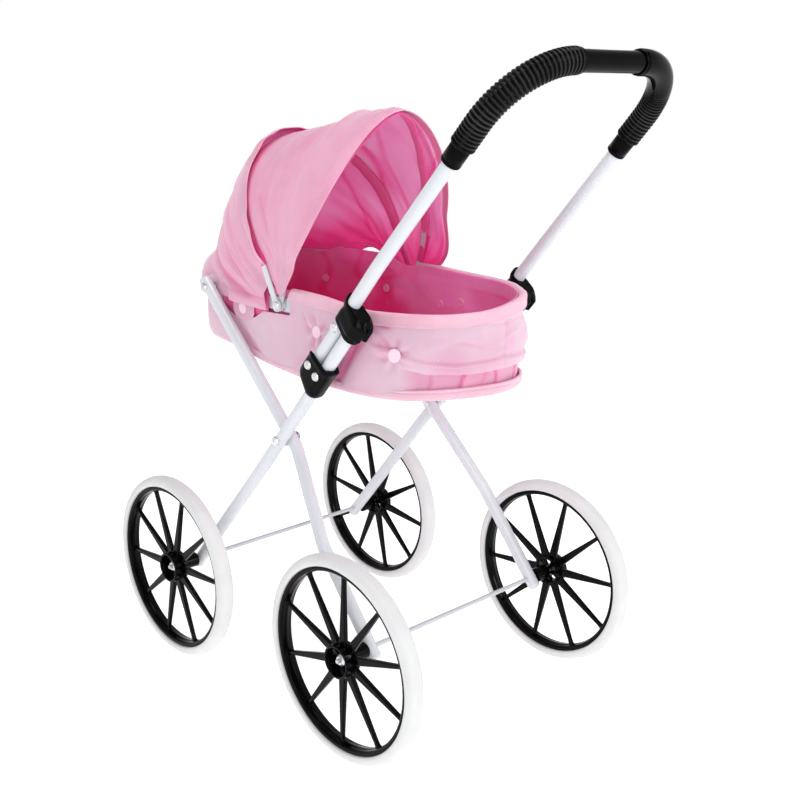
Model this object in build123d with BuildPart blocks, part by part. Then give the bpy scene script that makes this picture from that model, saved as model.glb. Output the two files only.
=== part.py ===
"""Doll pram with a scissor frame, spoked wheels, a fabric body and a folding hood.

Millimetres.  +X points to the hood end, +Y to the left, +Z up, floor at z = 0.
The tubes lie in upright planes left and right; the right side mirrors the left.
"""
import os
from math import cos, sin, radians, degrees, atan2, sqrt

from build123d import *

os.makedirs("parts", exist_ok=True)

# ---------------------------------------------------------------- dimensions
XS = 34.65                 # shift that puts the middle of the box at x = 0

WHEEL_R = 110.0            # tyre outside radius
RIM_R = 98.7               # tyre seat
RIM_IN_R = 92.8
TYRE_W = 20.5
RIM_W = 15.5
WHEEL_Y = 162.7            # wheel centre plane
AXLE_X = 154.6             # axles at +-AXLE_X before the shift
AXLE_R = 2.5
AXLE_BORE = 2.55
AXLE_HALF = 171.5
SPOKES = 10

TUBE_R = 7.0               # frame tube, 14 mm outside
TUBE_IN = 5.8
Y_A = 106.0                # inner leg plane, upper part
Y_B = 121.0                # outer leg and handle plane
Y_LOW = 126.0              # both legs at the axles

P1 = (146.0, 442.0)        # front leg pin on the hoop
XP = (-2.8, 296.5)         # scissor rivet
AX_F = (154.6, 110.0)      # front axle
AX_R = (-154.6, 110.0)     # rear axle
LEG_DIR = (-0.6455, 0.7638)    # outer leg and handle, upwards
LEG_NRM = (0.7638, 0.6455)     # forward and up, square to it
TUBE_GAP = 15.5            # handle tube axis in front of the leg axis
S_PIVOT = 358.0            # along the outer leg from the front axle
S_PIN2 = 416.0
S_LOCK0, S_LOCK1 = 424.0, 454.0
S_LEG_TOP = 448.0
S_BEND = 500.0
S_COLLAR = 637.0
S_GRIP = 657.0
S_BAR = 750.0
BAR_OFF = 10.5
Y_BAR = 115.5
BAR_BEND = 70.0
BAR_HALF = 42.5            # half of the smooth middle bar

BODY_F, BODY_R = 112.0, -84.0  # centres of the body's elliptical ends
BODY_A, BODY_B = 128.0, 97.4   # outside half axes of the ends
BODY_Z0 = 362.0
RIM_Z = 462.0
HOOP_Z0, HOOP_H = 431.0, 14.0

HOOD = (22.0, 438.0)       # hood pivot
TH_FRONT, TH_MID = 110.0, 62.0
FRONT_ARCH = (30.0, 1.55)  # straight part of the arms and roundness of the crown, pointed in front
MID_ARCH = (90.0, 1.9)     # and boxier over the middle and the rear
REAR_ARCH = (90.0, 2.0)


def at(s, off, y):
    """Point at s along the outer leg and off in front of it."""
    return (AX_F[0] + s * LEG_DIR[0] + off * LEG_NRM[0] + XS, y,
            AX_F[1] + s * LEG_DIR[1] + off * LEG_NRM[1])


def pt(x, y, z):
    return (x + XS, y, z)


def oval(inset):
    """Edges of the body's outline in plan, inset from its outside."""
    a, b = BODY_A - inset, BODY_B - inset
    f, r = BODY_F + XS, BODY_R + XS
    EllipticalCenterArc((f, 0), a, b, start_angle=-90, arc_size=180)
    Line((f, b), (r, b))
    EllipticalCenterArc((r, 0), a, b, start_angle=90, arc_size=180)
    Line((r, -b), (f, -b))


def arch(y, top, low, shape):
    """Edges of half a ring's outline: straight arms under a crown between an oval and a point."""
    leg, n = shape
    crown = []
    for i in range(1, 18):
        c, s = cos(radians(10 * i)), sin(radians(10 * i))
        crown.append(((1 if c > 0 else -1) * y * abs(c) ** (2 / n), leg + (top - leg) * s ** (2 / n)))
    crown[8] = (0, top)
    Line((y, low), (y, leg))
    Spline((y, leg), *crown, (-y, leg), tangents=((0, 1), (0, -1)))
    Line((-y, leg), (-y, low))
    Line((-y, low), (y, low))


def bow_plane(theta):
    """Plane through the hood's axis at an angle from +X: x along +Y, y outwards."""
    c, s = cos(radians(theta)), sin(radians(theta))
    return Plane(origin=pt(HOOD[0], 0, HOOD[1]), x_dir=(0, 1, 0), z_dir=(s, 0, -c))


def cross_y(x, y, z):
    """Location whose Z runs along +Y."""
    return Location(pt(x, y, z), (-90, 0, 0))


HOOD_AXIS = Axis(pt(HOOD[0], 0, HOOD[1]), (0, 1, 0))
LEG_ANGLE = degrees(atan2(LEG_DIR[1], LEG_DIR[0]))

# -------------------------------------------------------------------- wheels
# One wheel is drawn at the rear left; the others are copies of it.
WC = pt(AX_R[0], WHEEL_Y, 110.0)
WHEEL_PLANE = Plane(origin=WC, x_dir=(1, 0, 0), z_dir=(0, 0, 1))
WHEEL_AXIS = Axis(WC, (0, 1, 0))

with BuildPart() as wheel_rear_left:
    with BuildSketch(WHEEL_PLANE) as rim_profile:
        with BuildLine():
            Polyline((RIM_IN_R, -5.5), (RIM_IN_R + 1.6, -RIM_W / 2), (RIM_R, -RIM_W / 2),
                     (RIM_R, RIM_W / 2), (RIM_IN_R + 1.6, RIM_W / 2), (RIM_IN_R, 5.5), close=True)
        make_face()
    revolve(axis=WHEEL_AXIS)
    with BuildSketch(WHEEL_PLANE) as hub_profile:
        with BuildLine():
            Polyline((AXLE_BORE, -29.2), (8.6, -29.2), (11.5, -8.0), (18.0, -7.0), (18.0, 10.0),
                     (17.2, 11.0), (15.2, 11.0), (14.2, 0.0), (6.0, 0.0), (6.0, 3.0), (AXLE_BORE, 3.0),
                     close=True)
        make_face()
    revolve(axis=WHEEL_AXIS)
    with BuildSketch(Plane(origin=WC, x_dir=(1, 0, 0), z_dir=(0, -1, 0))) as spoke_outline:
        with PolarLocations(0, SPOKES):
            with Locations((55.0, 0)):
                Polygon((-39.5, -4.6), (39.0, -2.3), (39.0, 2.3), (-39.5, 4.6), align=None)
    extrude(amount=2.6, both=True)
wheel_rear_left.part.label = "wheel_rear_left"
export_step(wheel_rear_left.part, "parts/wheel_rear_left.step")

with BuildPart() as tyre_rear_left:
    with BuildSketch(WHEEL_PLANE) as tyre_profile:
        with Locations(((RIM_R + WHEEL_R) / 2, 0)):
            Rectangle(WHEEL_R - RIM_R, TYRE_W)
        fillet(tyre_profile.vertices().sort_by(Axis.X)[2:], 5.6)
        fillet(tyre_profile.vertices().sort_by(Axis.X)[:2], 2.0)
    revolve(axis=WHEEL_AXIS)
tyre_rear_left.part.label = "tyre_rear_left"
export_step(tyre_rear_left.part, "parts/tyre_rear_left.step")

with BuildPart() as wheel_rear_right:
    mirror(wheel_rear_left.part, about=Plane.XZ)
wheel_rear_right.part.label = "wheel_rear_right"
export_step(wheel_rear_right.part, "parts/wheel_rear_right.step")

with BuildPart() as tyre_rear_right:
    mirror(tyre_rear_left.part, about=Plane.XZ)
tyre_rear_right.part.label = "tyre_rear_right"
export_step(tyre_rear_right.part, "parts/tyre_rear_right.step")

with BuildPart() as wheel_front_left:
    with Locations((2 * AXLE_X, 0, 0)):
        add(wheel_rear_left.part)
wheel_front_left.part.label = "wheel_front_left"
export_step(wheel_front_left.part, "parts/wheel_front_left.step")

with BuildPart() as tyre_front_left:
    with Locations((2 * AXLE_X, 0, 0)):
        add(tyre_rear_left.part)
tyre_front_left.part.label = "tyre_front_left"
export_step(tyre_front_left.part, "parts/tyre_front_left.step")

with BuildPart() as wheel_front_right:
    mirror(wheel_front_left.part, about=Plane.XZ)
wheel_front_right.part.label = "wheel_front_right"
export_step(wheel_front_right.part, "parts/wheel_front_right.step")

with BuildPart() as tyre_front_right:
    mirror(tyre_front_left.part, about=Plane.XZ)
tyre_front_right.part.label = "tyre_front_right"
export_step(tyre_front_right.part, "parts/tyre_front_right.step")

# --------------------------------------------------------------------- axles
with BuildPart() as axle_rear:
    with Locations(cross_y(AX_R[0], 0, AX_R[1])):
        Cylinder(AXLE_R, 2 * AXLE_HALF)
    chamfer(axle_rear.edges().filter_by(GeomType.CIRCLE), 0.6)
axle_rear.part.label = "axle_rear"
export_step(axle_rear.part, "parts/axle_rear.step")

with BuildPart() as axle_front:
    with Locations((2 * AXLE_X, 0, 0)):
        add(axle_rear.part)
axle_front.part.label = "axle_front"
export_step(axle_front.part, "parts/axle_front.step")

# Push-on cap nuts that hold the wheels, one at each axle end.
CLIP_Y = WHEEL_Y + 3.4
with BuildPart() as axle_clips_rear:
    with BuildSketch(Plane(origin=pt(AX_R[0], 0, AX_R[1]), x_dir=(1, 0, 0), z_dir=(0, 0, 1))):
        for side in (1, -1):
            with BuildLine():
                Polyline((AXLE_R, side * CLIP_Y), (6.0, side * CLIP_Y), (6.4, side * (CLIP_Y + 0.6)),
                         (4.4, side * (CLIP_Y + 2.2)), (AXLE_R, side * (CLIP_Y + 2.2)), close=True)
            make_face()
    revolve(axis=Axis(pt(AX_R[0], 0, AX_R[1]), (0, 1, 0)))
axle_clips_rear.part.label = "axle_clips_rear"
export_step(axle_clips_rear.part, "parts/axle_clips_rear.step")

with BuildPart() as axle_clips_front:
    with Locations((2 * AXLE_X, 0, 0)):
        add(axle_clips_rear.part)
axle_clips_front.part.label = "axle_clips_front"
export_step(axle_clips_front.part, "parts/axle_clips_front.step")

# ---------------------------------------------------------------------- legs
# Inner leg: from the hoop down to the rear axle, stepping outwards below the scissor rivet.
ta = sqrt((P1[0] - XP[0]) ** 2 + (P1[1] - XP[1]) ** 2)
ua = ((P1[0] - XP[0]) / ta, (P1[1] - XP[1]) / ta)
knee1 = (XP[0] - 13.0 * ua[0], XP[1] - 13.0 * ua[1])
knee2 = (-80.0, 199.0)
tl = sqrt((AX_R[0] - knee2[0]) ** 2 + (AX_R[1] - knee2[1]) ** 2)
ul = ((AX_R[0] - knee2[0]) / tl, (AX_R[1] - knee2[1]) / tl)

with BuildPart() as leg_a_left:
    with BuildLine() as leg_a_path:
        FilletPolyline(pt(P1[0] + 9 * ua[0], Y_A, P1[1] + 9 * ua[1]), pt(knee1[0], Y_A, knee1[1]),
                       pt(knee2[0], Y_LOW, knee2[1]),
                       pt(AX_R[0] + 9 * ul[0], Y_LOW, AX_R[1] + 9 * ul[1]), radius=(60, 60))
    with BuildSketch(Plane(origin=leg_a_path.line @ 0, z_dir=leg_a_path.line % 0)):
        Circle(TUBE_R)
        Circle(TUBE_IN, mode=Mode.SUBTRACT)
    sweep()
    with Locations(cross_y(P1[0], Y_A, P1[1])):
        Cylinder(2.56, 30, mode=Mode.SUBTRACT)
    with Locations(cross_y(XP[0], Y_A, XP[1])):
        Cylinder(3.02, 30, mode=Mode.SUBTRACT)
    with Locations(cross_y(AX_R[0], Y_LOW, AX_R[1])):
        Cylinder(AXLE_BORE, 30, mode=Mode.SUBTRACT)
leg_a_left.part.label = "leg_a_left"
export_step(leg_a_left.part, "parts/leg_a_left.step")

with BuildPart() as leg_a_right:
    mirror(leg_a_left.part, about=Plane.XZ)
leg_a_right.part.label = "leg_a_right"
export_step(leg_a_right.part, "parts/leg_a_right.step")

# Outer leg: from the lock down to the front axle, splayed a little below the rivet.
with BuildPart() as leg_b_left:
    with BuildLine() as leg_b_path:
        FilletPolyline(at(S_LEG_TOP, 0, Y_B), at(190, 0, Y_B), at(30, 0, Y_LOW), at(-9, 0, Y_LOW),
                       radius=(300, 300))
    with BuildSketch(Plane(origin=leg_b_path.line @ 0, z_dir=leg_b_path.line % 0)):
        Circle(TUBE_R)
        Circle(TUBE_IN, mode=Mode.SUBTRACT)
    sweep()
    with Locations(cross_y(AX_F[0], Y_LOW, AX_F[1])):
        Cylinder(AXLE_BORE, 30, mode=Mode.SUBTRACT)
    with Locations(cross_y(XP[0], Y_B, XP[1])):
        Cylinder(3.06, 30, mode=Mode.SUBTRACT)
    with Locations(Location(at(S_PIVOT, 0, Y_B), (-90, 0, 0))):
        Cylinder(3.02, 30, mode=Mode.SUBTRACT)
leg_b_left.part.label = "leg_b_left"
export_step(leg_b_left.part, "parts/leg_b_left.step")

with BuildPart() as leg_b_right:
    mirror(leg_b_left.part, about=Plane.XZ)
leg_b_right.part.label = "leg_b_right"
export_step(leg_b_right.part, "parts/leg_b_right.step")

# Scissor rivets with domed heads, and the washers between the crossing tubes.
with BuildPart() as scissor_rivets:
    with BuildSketch(Plane(origin=pt(XP[0], 0, XP[1]), x_dir=(1, 0, 0), z_dir=(0, 0, 1))):
        with BuildLine():
            Polyline((0, 96.8), (4.2, 97.0), (5.4, 98.7), (3.0, 98.7), (3.0, 128.3), (5.6, 128.3), (4.6, 130.0),
                     (0, 130.8), close=True)
        make_face()
    revolve(axis=Axis(pt(XP[0], 0, XP[1]), (0, 1, 0)))
    mirror(about=Plane.XZ)
scissor_rivets.part.label = "scissor_rivets"
export_step(scissor_rivets.part, "parts/scissor_rivets.step")

with BuildPart() as scissor_washers:
    with Locations(cross_y(XP[0], 113.5, XP[1])):
        Cylinder(8.0, 0.6)
        Cylinder(3.1, 2, mode=Mode.SUBTRACT)
    mirror(about=Plane.XZ)
scissor_washers.part.label = "scissor_washers"
export_step(scissor_washers.part, "parts/scissor_washers.step")

# -------------------------------------------------------------------- handle
with BuildPart() as handle_tube:
    with BuildLine() as handle_path:
        FilletPolyline(at(S_PIVOT, TUBE_GAP, Y_B), at(S_BEND, TUBE_GAP, Y_B), at(S_BAR, BAR_OFF, Y_BAR),
                       at(S_BAR, BAR_OFF, -Y_BAR), at(S_BEND, TUBE_GAP, -Y_B), at(S_PIVOT, TUBE_GAP, -Y_B),
                       radius=(200, BAR_BEND, BAR_BEND, 200))
    with BuildSketch(Plane(origin=handle_path.line @ 0, z_dir=handle_path.line % 0)):
        Circle(TUBE_R)
        Circle(TUBE_IN, mode=Mode.SUBTRACT)
    sweep()
    # solid knuckle at each lower end, round about its rivet
    for side in (1, -1):
        with Locations(Location(at(S_PIVOT, TUBE_GAP, side * Y_B), (-90, 0, 0))):
            Cylinder(6.7, 11.0)
    for side in (1, -1):
        with Locations(Location(at(S_PIVOT, TUBE_GAP, side * Y_B), (-90, 0, 0))):
            Cylinder(3.06, 30, mode=Mode.SUBTRACT)
        with Locations(Location(at(S_PIN2, TUBE_GAP, side * Y_B), (-90, 0, 0))):
            Cylinder(2.52, 30, mode=Mode.SUBTRACT)
handle_tube.part.label = "handle_tube"
export_step(handle_tube.part, "parts/handle_tube.step")

# Where the straight tube leads to the crossbar's corner.
fg = (S_GRIP - S_BEND) / (S_BAR - S_BEND)
fc = (S_COLLAR - S_BEND) / (S_BAR - S_BEND)


def on_tube(f):
    return at(S_BEND + f * (S_BAR - S_BEND), TUBE_GAP + f * (BAR_OFF - TUBE_GAP), Y_B + f * (Y_BAR - Y_B))


with BuildPart() as grip_left:
    with BuildLine() as grip_path:
        FilletPolyline(on_tube(fg), at(S_BAR, BAR_OFF, Y_BAR), at(S_BAR, BAR_OFF, BAR_HALF), radius=BAR_BEND)
    with BuildSketch(Plane(origin=grip_path.line @ 0, z_dir=grip_path.line % 0)):
        Circle(12.4)
        Circle(TUBE_R + 0.15, mode=Mode.SUBTRACT)
    sweep()
grip_left.part.label = "grip_left"
export_step(grip_left.part, "parts/grip_left.step")

with BuildPart() as grip_right:
    mirror(grip_left.part, about=Plane.XZ)
grip_right.part.label = "grip_right"
export_step(grip_right.part, "parts/grip_right.step")

with BuildPart() as grip_bar:
    with Locations(Location(at(S_BAR, BAR_OFF, 0), (-90, 0, 0))):
        Cylinder(10.0, 2 * BAR_HALF - 0.4)
        Cylinder(TUBE_R + 0.15, 2 * BAR_HALF + 4, mode=Mode.SUBTRACT)
grip_bar.part.label = "grip_bar"
export_step(grip_bar.part, "parts/grip_bar.step")

with BuildPart() as collar_left:
    with BuildLine() as collar_path:
        Line(on_tube(fc), on_tube(fg - 0.002))
    with BuildSketch(Plane(origin=collar_path.line @ 0, z_dir=collar_path.line % 0)):
        Circle(9.9)
        Circle(TUBE_R + 0.15, mode=Mode.SUBTRACT)
    sweep()
collar_left.part.label = "collar_left"
export_step(collar_left.part, "parts/collar_left.step")

with BuildPart() as collar_right:
    mirror(collar_left.part, about=Plane.XZ)
collar_right.part.label = "collar_right"
export_step(collar_right.part, "parts/collar_right.step")

# Pins that tie the handle to the hoop; each stops just short of the fabric.
pin2 = at(S_PIN2, TUBE_GAP, 0)
with BuildPart() as handle_pins:
    with BuildSketch(Plane(origin=pin2, x_dir=(1, 0, 0), z_dir=(0, 0, 1))):
        with BuildLine():
            Polyline((0, 98.9), (4.6, 98.9), (4.6, 113.7), (2.5, 113.7), (2.5, 128.3), (5.2, 128.3), (4.2, 129.8),
                     (0, 130.5), close=True)
        make_face()
    revolve(axis=Axis(pin2, (0, 1, 0)))
    mirror(about=Plane.XZ)
handle_pins.part.label = "handle_pins"
export_step(handle_pins.part, "parts/handle_pins.step")

# ------------------------------------------------- pivot brackets and slide locks
# Plane of the tubes: x along the leg, y to the front of it.
BR = Plane(origin=at(0, 0, Y_B), x_dir=(LEG_DIR[0], 0, LEG_DIR[1]), z_dir=(0, 1, 0))
FRONT = 1 if BR.y_dir.X > 0 else -1

with BuildPart() as handle_bracket_left:
    with BuildSketch(BR) as cheek:
        with BuildLine():
            Polyline((383, FRONT * 27), (353, FRONT * 27), (337, FRONT * 12), (334, -FRONT * 5), (341, -FRONT * 14.5),
                     (386, -FRONT * 14.5), (391, -FRONT * 8), (391, FRONT * 8), (386, FRONT * 11), close=True)
        make_face()
        fillet(cheek.vertices(), 3.2)
    extrude(amount=10.6, both=True)
    fillet(handle_bracket_left.faces().filter_by(Axis.Y).edges(), 1.4)
    with Locations(BR * Location((362, FRONT * 22.3, 0))):
        Box(90, 60, 14.8, mode=Mode.SUBTRACT)
    with Locations(Location(at(S_PIVOT, TUBE_GAP, Y_B), (-90, 0, 0)), Location(at(S_PIVOT, 0, Y_B), (-90, 0, 0))):
        Cylinder(3.02, 40, mode=Mode.SUBTRACT)
handle_bracket_left.part.label = "handle_bracket_left"
export_step(handle_bracket_left.part, "parts/handle_bracket_left.step")

with BuildPart() as handle_bracket_right:
    mirror(handle_bracket_left.part, about=Plane.XZ)
handle_bracket_right.part.label = "handle_bracket_right"
export_step(handle_bracket_right.part, "parts/handle_bracket_right.step")

with BuildPart() as bracket_rivets:
    for off in (0, TUBE_GAP):
        centre = at(S_PIVOT, off, 0)
        with BuildSketch(Plane(origin=centre, x_dir=(1, 0, 0), z_dir=(0, 0, 1))):
            with BuildLine():
                Polyline((0, 108.6), (4.0, 109.2), (4.8, 110.2), (3.0, 110.2), (3.0, 131.8), (4.9, 131.8), (4.0, 133.2),
                         (0, 133.9), close=True)
            make_face()
        revolve(axis=Axis(centre, (0, 1, 0)))
    mirror(about=Plane.XZ)
bracket_rivets.part.label = "bracket_rivets"
export_step(bracket_rivets.part, "parts/bracket_rivets.step")

# Sliding lock: a sleeve on the handle tube with a fork, open to the rear, over the leg's end.
LK = Plane(origin=at(S_LOCK0, 0, Y_B), x_dir=(0, 1, 0), z_dir=(LEG_DIR[0], 0, LEG_DIR[1]))
LF = 1 if LK.y_dir.X > 0 else -1

with BuildPart() as lock_left:
    with BuildSketch(LK):
        with Locations((0, LF * TUBE_GAP)):
            Circle(11.6)
        with Locations((0, LF * (TUBE_GAP / 2 - 4.5))):
            Rectangle(23.2, TUBE_GAP + 9)
    extrude(amount=S_LOCK1 - S_LOCK0)
    with BuildSketch(LK.offset(8)):
        with Locations((0, LF * TUBE_GAP)):
            Circle(13.0)
        with Locations((0, LF * (TUBE_GAP / 2 - 4.0))):
            Rectangle(26.0, TUBE_GAP + 8)
    extrude(amount=3.6)
    with BuildSketch(LK.offset(18)):
        with Locations((0, LF * TUBE_GAP)):
            Circle(13.0)
        with Locations((0, LF * (TUBE_GAP / 2 - 4.0))):
            Rectangle(26.0, TUBE_GAP + 8)
    extrude(amount=3.6)
    with BuildSketch(LK.offset(-1)):
        with Locations((0, LF * TUBE_GAP)):
            Circle(TUBE_R + 0.08)
        with Locations((0, -LF * 12.3)):
            Rectangle(14.8, 40)
    extrude(amount=S_LOCK1 - S_LOCK0 + 2, mode=Mode.SUBTRACT)
lock_left.part.label = "lock_left"
export_step(lock_left.part, "parts/lock_left.step")

with BuildPart() as lock_right:
    mirror(lock_left.part, about=Plane.XZ)
lock_right.part.label = "lock_right"
export_step(lock_right.part, "parts/lock_right.step")

# ---------------------------------------------------------------------- body
with BuildPart() as basket_hoop:
    with BuildSketch(Plane.XY.offset(HOOP_Z0)):
        with BuildLine():
            oval(2.4)
        make_face()
        with BuildLine():
            oval(5.4)
        make_face(mode=Mode.SUBTRACT)
    extrude(amount=HOOP_H)
    with Locations(cross_y(P1[0], 0, P1[1]), cross_y(HOOD[0], 0, HOOD[1]), Location((pin2[0], 0, pin2[2]), (-90, 0, 0))):
        Cylinder(2.6, 240, mode=Mode.SUBTRACT)
basket_hoop.part.label = "basket_hoop"
export_step(basket_hoop.part, "parts/basket_hoop.step")

with BuildPart() as basket_liner:
    with BuildSketch(Plane.XY.offset(BODY_Z0)):
        with BuildLine():
            oval(5.9)
        make_face()
    extrude(amount=RIM_Z - 0.5 - BODY_Z0)
    with BuildSketch(Plane.XY.offset(BODY_Z0 + 2)):
        with BuildLine():
            oval(7.9)
        make_face()
    extrude(amount=RIM_Z, mode=Mode.SUBTRACT)
basket_liner.part.label = "basket_liner"
export_step(basket_liner.part, "parts/basket_liner.step")

with BuildPart() as base_board:
    with BuildSketch(Plane.XY.offset(BODY_Z0 + 2.2)):
        with BuildLine():
            oval(8.6)
        make_face()
    extrude(amount=3.0)
base_board.part.label = "base_board"
export_step(base_board.part, "parts/base_board.step")

with BuildPart() as basket_skirt:
    with BuildSketch(Plane.XY.offset(BODY_Z0 - 1)):
        with BuildLine():
            oval(0)
        make_face()
        with BuildLine():
            oval(1.8)
        make_face(mode=Mode.SUBTRACT)
    extrude(amount=RIM_Z - 15.4 - BODY_Z0 + 1)
    # openings at the hood pivots and the leg pins
    with Locations(pt(HOOD[0] + 2, 0, 438.8)):
        Box(42, 240, 20, mode=Mode.SUBTRACT)
    with Locations(cross_y(P1[0], 0, P1[1])):
        Cylinder(6.0, 240, mode=Mode.SUBTRACT)
basket_skirt.part.label = "basket_skirt"
export_step(basket_skirt.part, "parts/basket_skirt.step")

with BuildPart() as basket_hem:
    with BuildSketch(Plane.XY.offset(RIM_Z - 15)):
        with BuildLine():
            oval(-0.8)
        make_face()
        with BuildLine():
            oval(5.6)
        make_face(mode=Mode.SUBTRACT)
    extrude(amount=15)
basket_hem.part.label = "basket_hem"
export_step(basket_hem.part, "parts/basket_hem.step")

# Pins that carry the inner legs on the hoop.
with BuildPart() as leg_pins:
    with BuildSketch(Plane(origin=pt(P1[0], 0, P1[1]), x_dir=(1, 0, 0), z_dir=(0, 0, 1))):
        with BuildLine():
            Polyline((0, 88.8), (2.5, 88.8), (2.5, 92.8), (5.0, 92.8), (5.0, 98.7), (2.5, 98.7), (2.5, 113.2),
                     (5.2, 113.2), (4.2, 114.6), (0, 115.2), close=True)
        make_face()
    revolve(axis=Axis(pt(P1[0], 0, P1[1]), (0, 1, 0)))
    mirror(about=Plane.XZ)
leg_pins.part.label = "leg_pins"
export_step(leg_pins.part, "parts/leg_pins.step")

# Press studs through the skirt and the liner.
STUDS = [(-36.0, 97.4, 418.0, 90.0), (-145.0, 85.6, 411.0, 112.4)]
with BuildPart() as press_studs:
    for x, y, z, turn in STUDS:
        nx, ny = cos(radians(turn)), sin(radians(turn))
        face = Plane(origin=pt(x, y, z), x_dir=(0, 0, 1), z_dir=(nx, ny, 0))
        with BuildSketch(face.offset(0.3)):
            Circle(5.4)
        extrude(amount=1.6)
        with BuildSketch(face.offset(1.9)):
            Circle(4.2)
        extrude(amount=0.7)
    mirror(about=Plane.XZ)
press_studs.part.label = "press_studs"
export_step(press_studs.part, "parts/press_studs.step")

# ---------------------------------------------------------------------- hood
with BuildPart() as hood_pins:
    with BuildSketch(Plane(origin=pt(HOOD[0], 0, HOOD[1]), x_dir=(1, 0, 0), z_dir=(0, 0, 1))):
        with BuildLine():
            Polyline((0, 92.4), (2.5, 92.4), (2.5, 95.3), (6.0, 95.3), (6.0, 98.6), (2.5, 98.6), (2.5, 105.0),
                     (5.0, 105.0), (4.2, 106.2), (0, 106.8), close=True)
        make_face()
    revolve(axis=HOOD_AXIS)
    mirror(about=Plane.XZ)
hood_pins.part.label = "hood_pins"
export_step(hood_pins.part, "parts/hood_pins.step")

# Flat steel bows: front one inside, middle one outside on the pin.
with BuildPart() as hood_front_bow:
    with BuildSketch(bow_plane(TH_FRONT)):
        with BuildLine():
            arch(100.5, 217.6, 0, FRONT_ARCH)
        make_face()
        with BuildLine():
            arch(98.9, 216.0, 0, FRONT_ARCH)
        make_face(mode=Mode.SUBTRACT)
    extrude(amount=3.8, both=True)
    with Locations(cross_y(HOOD[0], 99.7, HOOD[1]), cross_y(HOOD[0], -99.7, HOOD[1])):
        Cylinder(6.5, 1.6)
    with Locations(cross_y(HOOD[0], 0, HOOD[1])):
        Cylinder(2.56, 240, mode=Mode.SUBTRACT)
hood_front_bow.part.label = "hood_front_bow"
export_step(hood_front_bow.part, "parts/hood_front_bow.step")

with BuildPart() as hood_mid_bow:
    with BuildSketch(bow_plane(TH_MID)):
        with BuildLine():
            arch(104.6, 195.6, 0, MID_ARCH)
        make_face()
        with BuildLine():
            arch(103.0, 194.0, 0, MID_ARCH)
        make_face(mode=Mode.SUBTRACT)
    extrude(amount=3.8, both=True)
    with Locations(cross_y(HOOD[0], 103.8, HOOD[1]), cross_y(HOOD[0], -103.8, HOOD[1])):
        Cylinder(6.5, 1.6)
    with Locations(cross_y(HOOD[0], 0, HOOD[1])):
        Cylinder(2.56, 240, mode=Mode.SUBTRACT)
hood_mid_bow.part.label = "hood_mid_bow"
export_step(hood_mid_bow.part, "parts/hood_mid_bow.step")

# Fabric of the hood: nested sections that slide past each other as the hood folds.
with BuildPart() as hood_front_panel:
    with BuildSketch(bow_plane(TH_FRONT)):
        with BuildLine():
            arch(101.6, 218.9, 26, FRONT_ARCH)
        make_face()
        with BuildLine():
            arch(100.8, 217.9, 26, FRONT_ARCH)
        make_face(mode=Mode.SUBTRACT)
    revolve(axis=HOOD_AXIS, revolution_arc=10)
hood_front_panel.part.label = "hood_front_panel"
export_step(hood_front_panel.part, "parts/hood_front_panel.step")

with BuildPart() as hood_mid_panel:
    with BuildSketch(bow_plane(99.0)):
        with BuildLine():
            arch(102.7, 220.3, 26, FRONT_ARCH)
        make_face()
        with BuildLine():
            arch(101.9, 219.3, 26, FRONT_ARCH)
        make_face(mode=Mode.SUBTRACT)
    revolve(axis=HOOD_AXIS, revolution_arc=32)
hood_mid_panel.part.label = "hood_mid_panel"
export_step(hood_mid_panel.part, "parts/hood_mid_panel.step")

with BuildPart() as hood_rear_panel:
    with BuildSketch(bow_plane(59.0)):
        with BuildLine():
            arch(106.0, 222.2, 26, REAR_ARCH)
        make_face()
        with BuildLine():
            arch(105.0, 221.0, 26, REAR_ARCH)
        make_face(mode=Mode.SUBTRACT)
    revolve(axis=HOOD_AXIS, revolution_arc=58)
    with Locations(pt(HOOD[0] + 150, 0, 463.0 - 100)):
        Box(500, 300, 202, mode=Mode.SUBTRACT)
hood_rear_panel.part.label = "hood_rear_panel"
export_step(hood_rear_panel.part, "parts/hood_rear_panel.step")

# Side tabs of the hood with their studs, buttoned to the body.
with BuildPart() as hood_tabs:
    with BuildSketch(Plane(origin=pt(84.0, 105.0, 444.0), x_dir=(1, 0, 0), z_dir=(0, 1, 0))) as tab_outline:
        Rectangle(22, 39)
        fillet(tab_outline.vertices(), 6)
    extrude(amount=1.0)
    with BuildSketch(Plane(origin=pt(84.0, 106.0, 430.0), x_dir=(1, 0, 0), z_dir=(0, 1, 0))):
        Circle(5.4)
    extrude(amount=1.4)
    with BuildSketch(Plane(origin=pt(84.0, 97.7, 430.0), x_dir=(1, 0, 0), z_dir=(0, 1, 0))):
        Circle(3.0)
    extrude(amount=7.4)
    mirror(about=Plane.XZ)
hood_tabs.part.label = "hood_tabs"
export_step(hood_tabs.part, "parts/hood_tabs.step")
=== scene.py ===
from math import radians, degrees, sin, cos, pi, sqrt, atan2

import bpy
import bmesh
import numpy as np
from mathutils import Matrix, Vector


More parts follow.
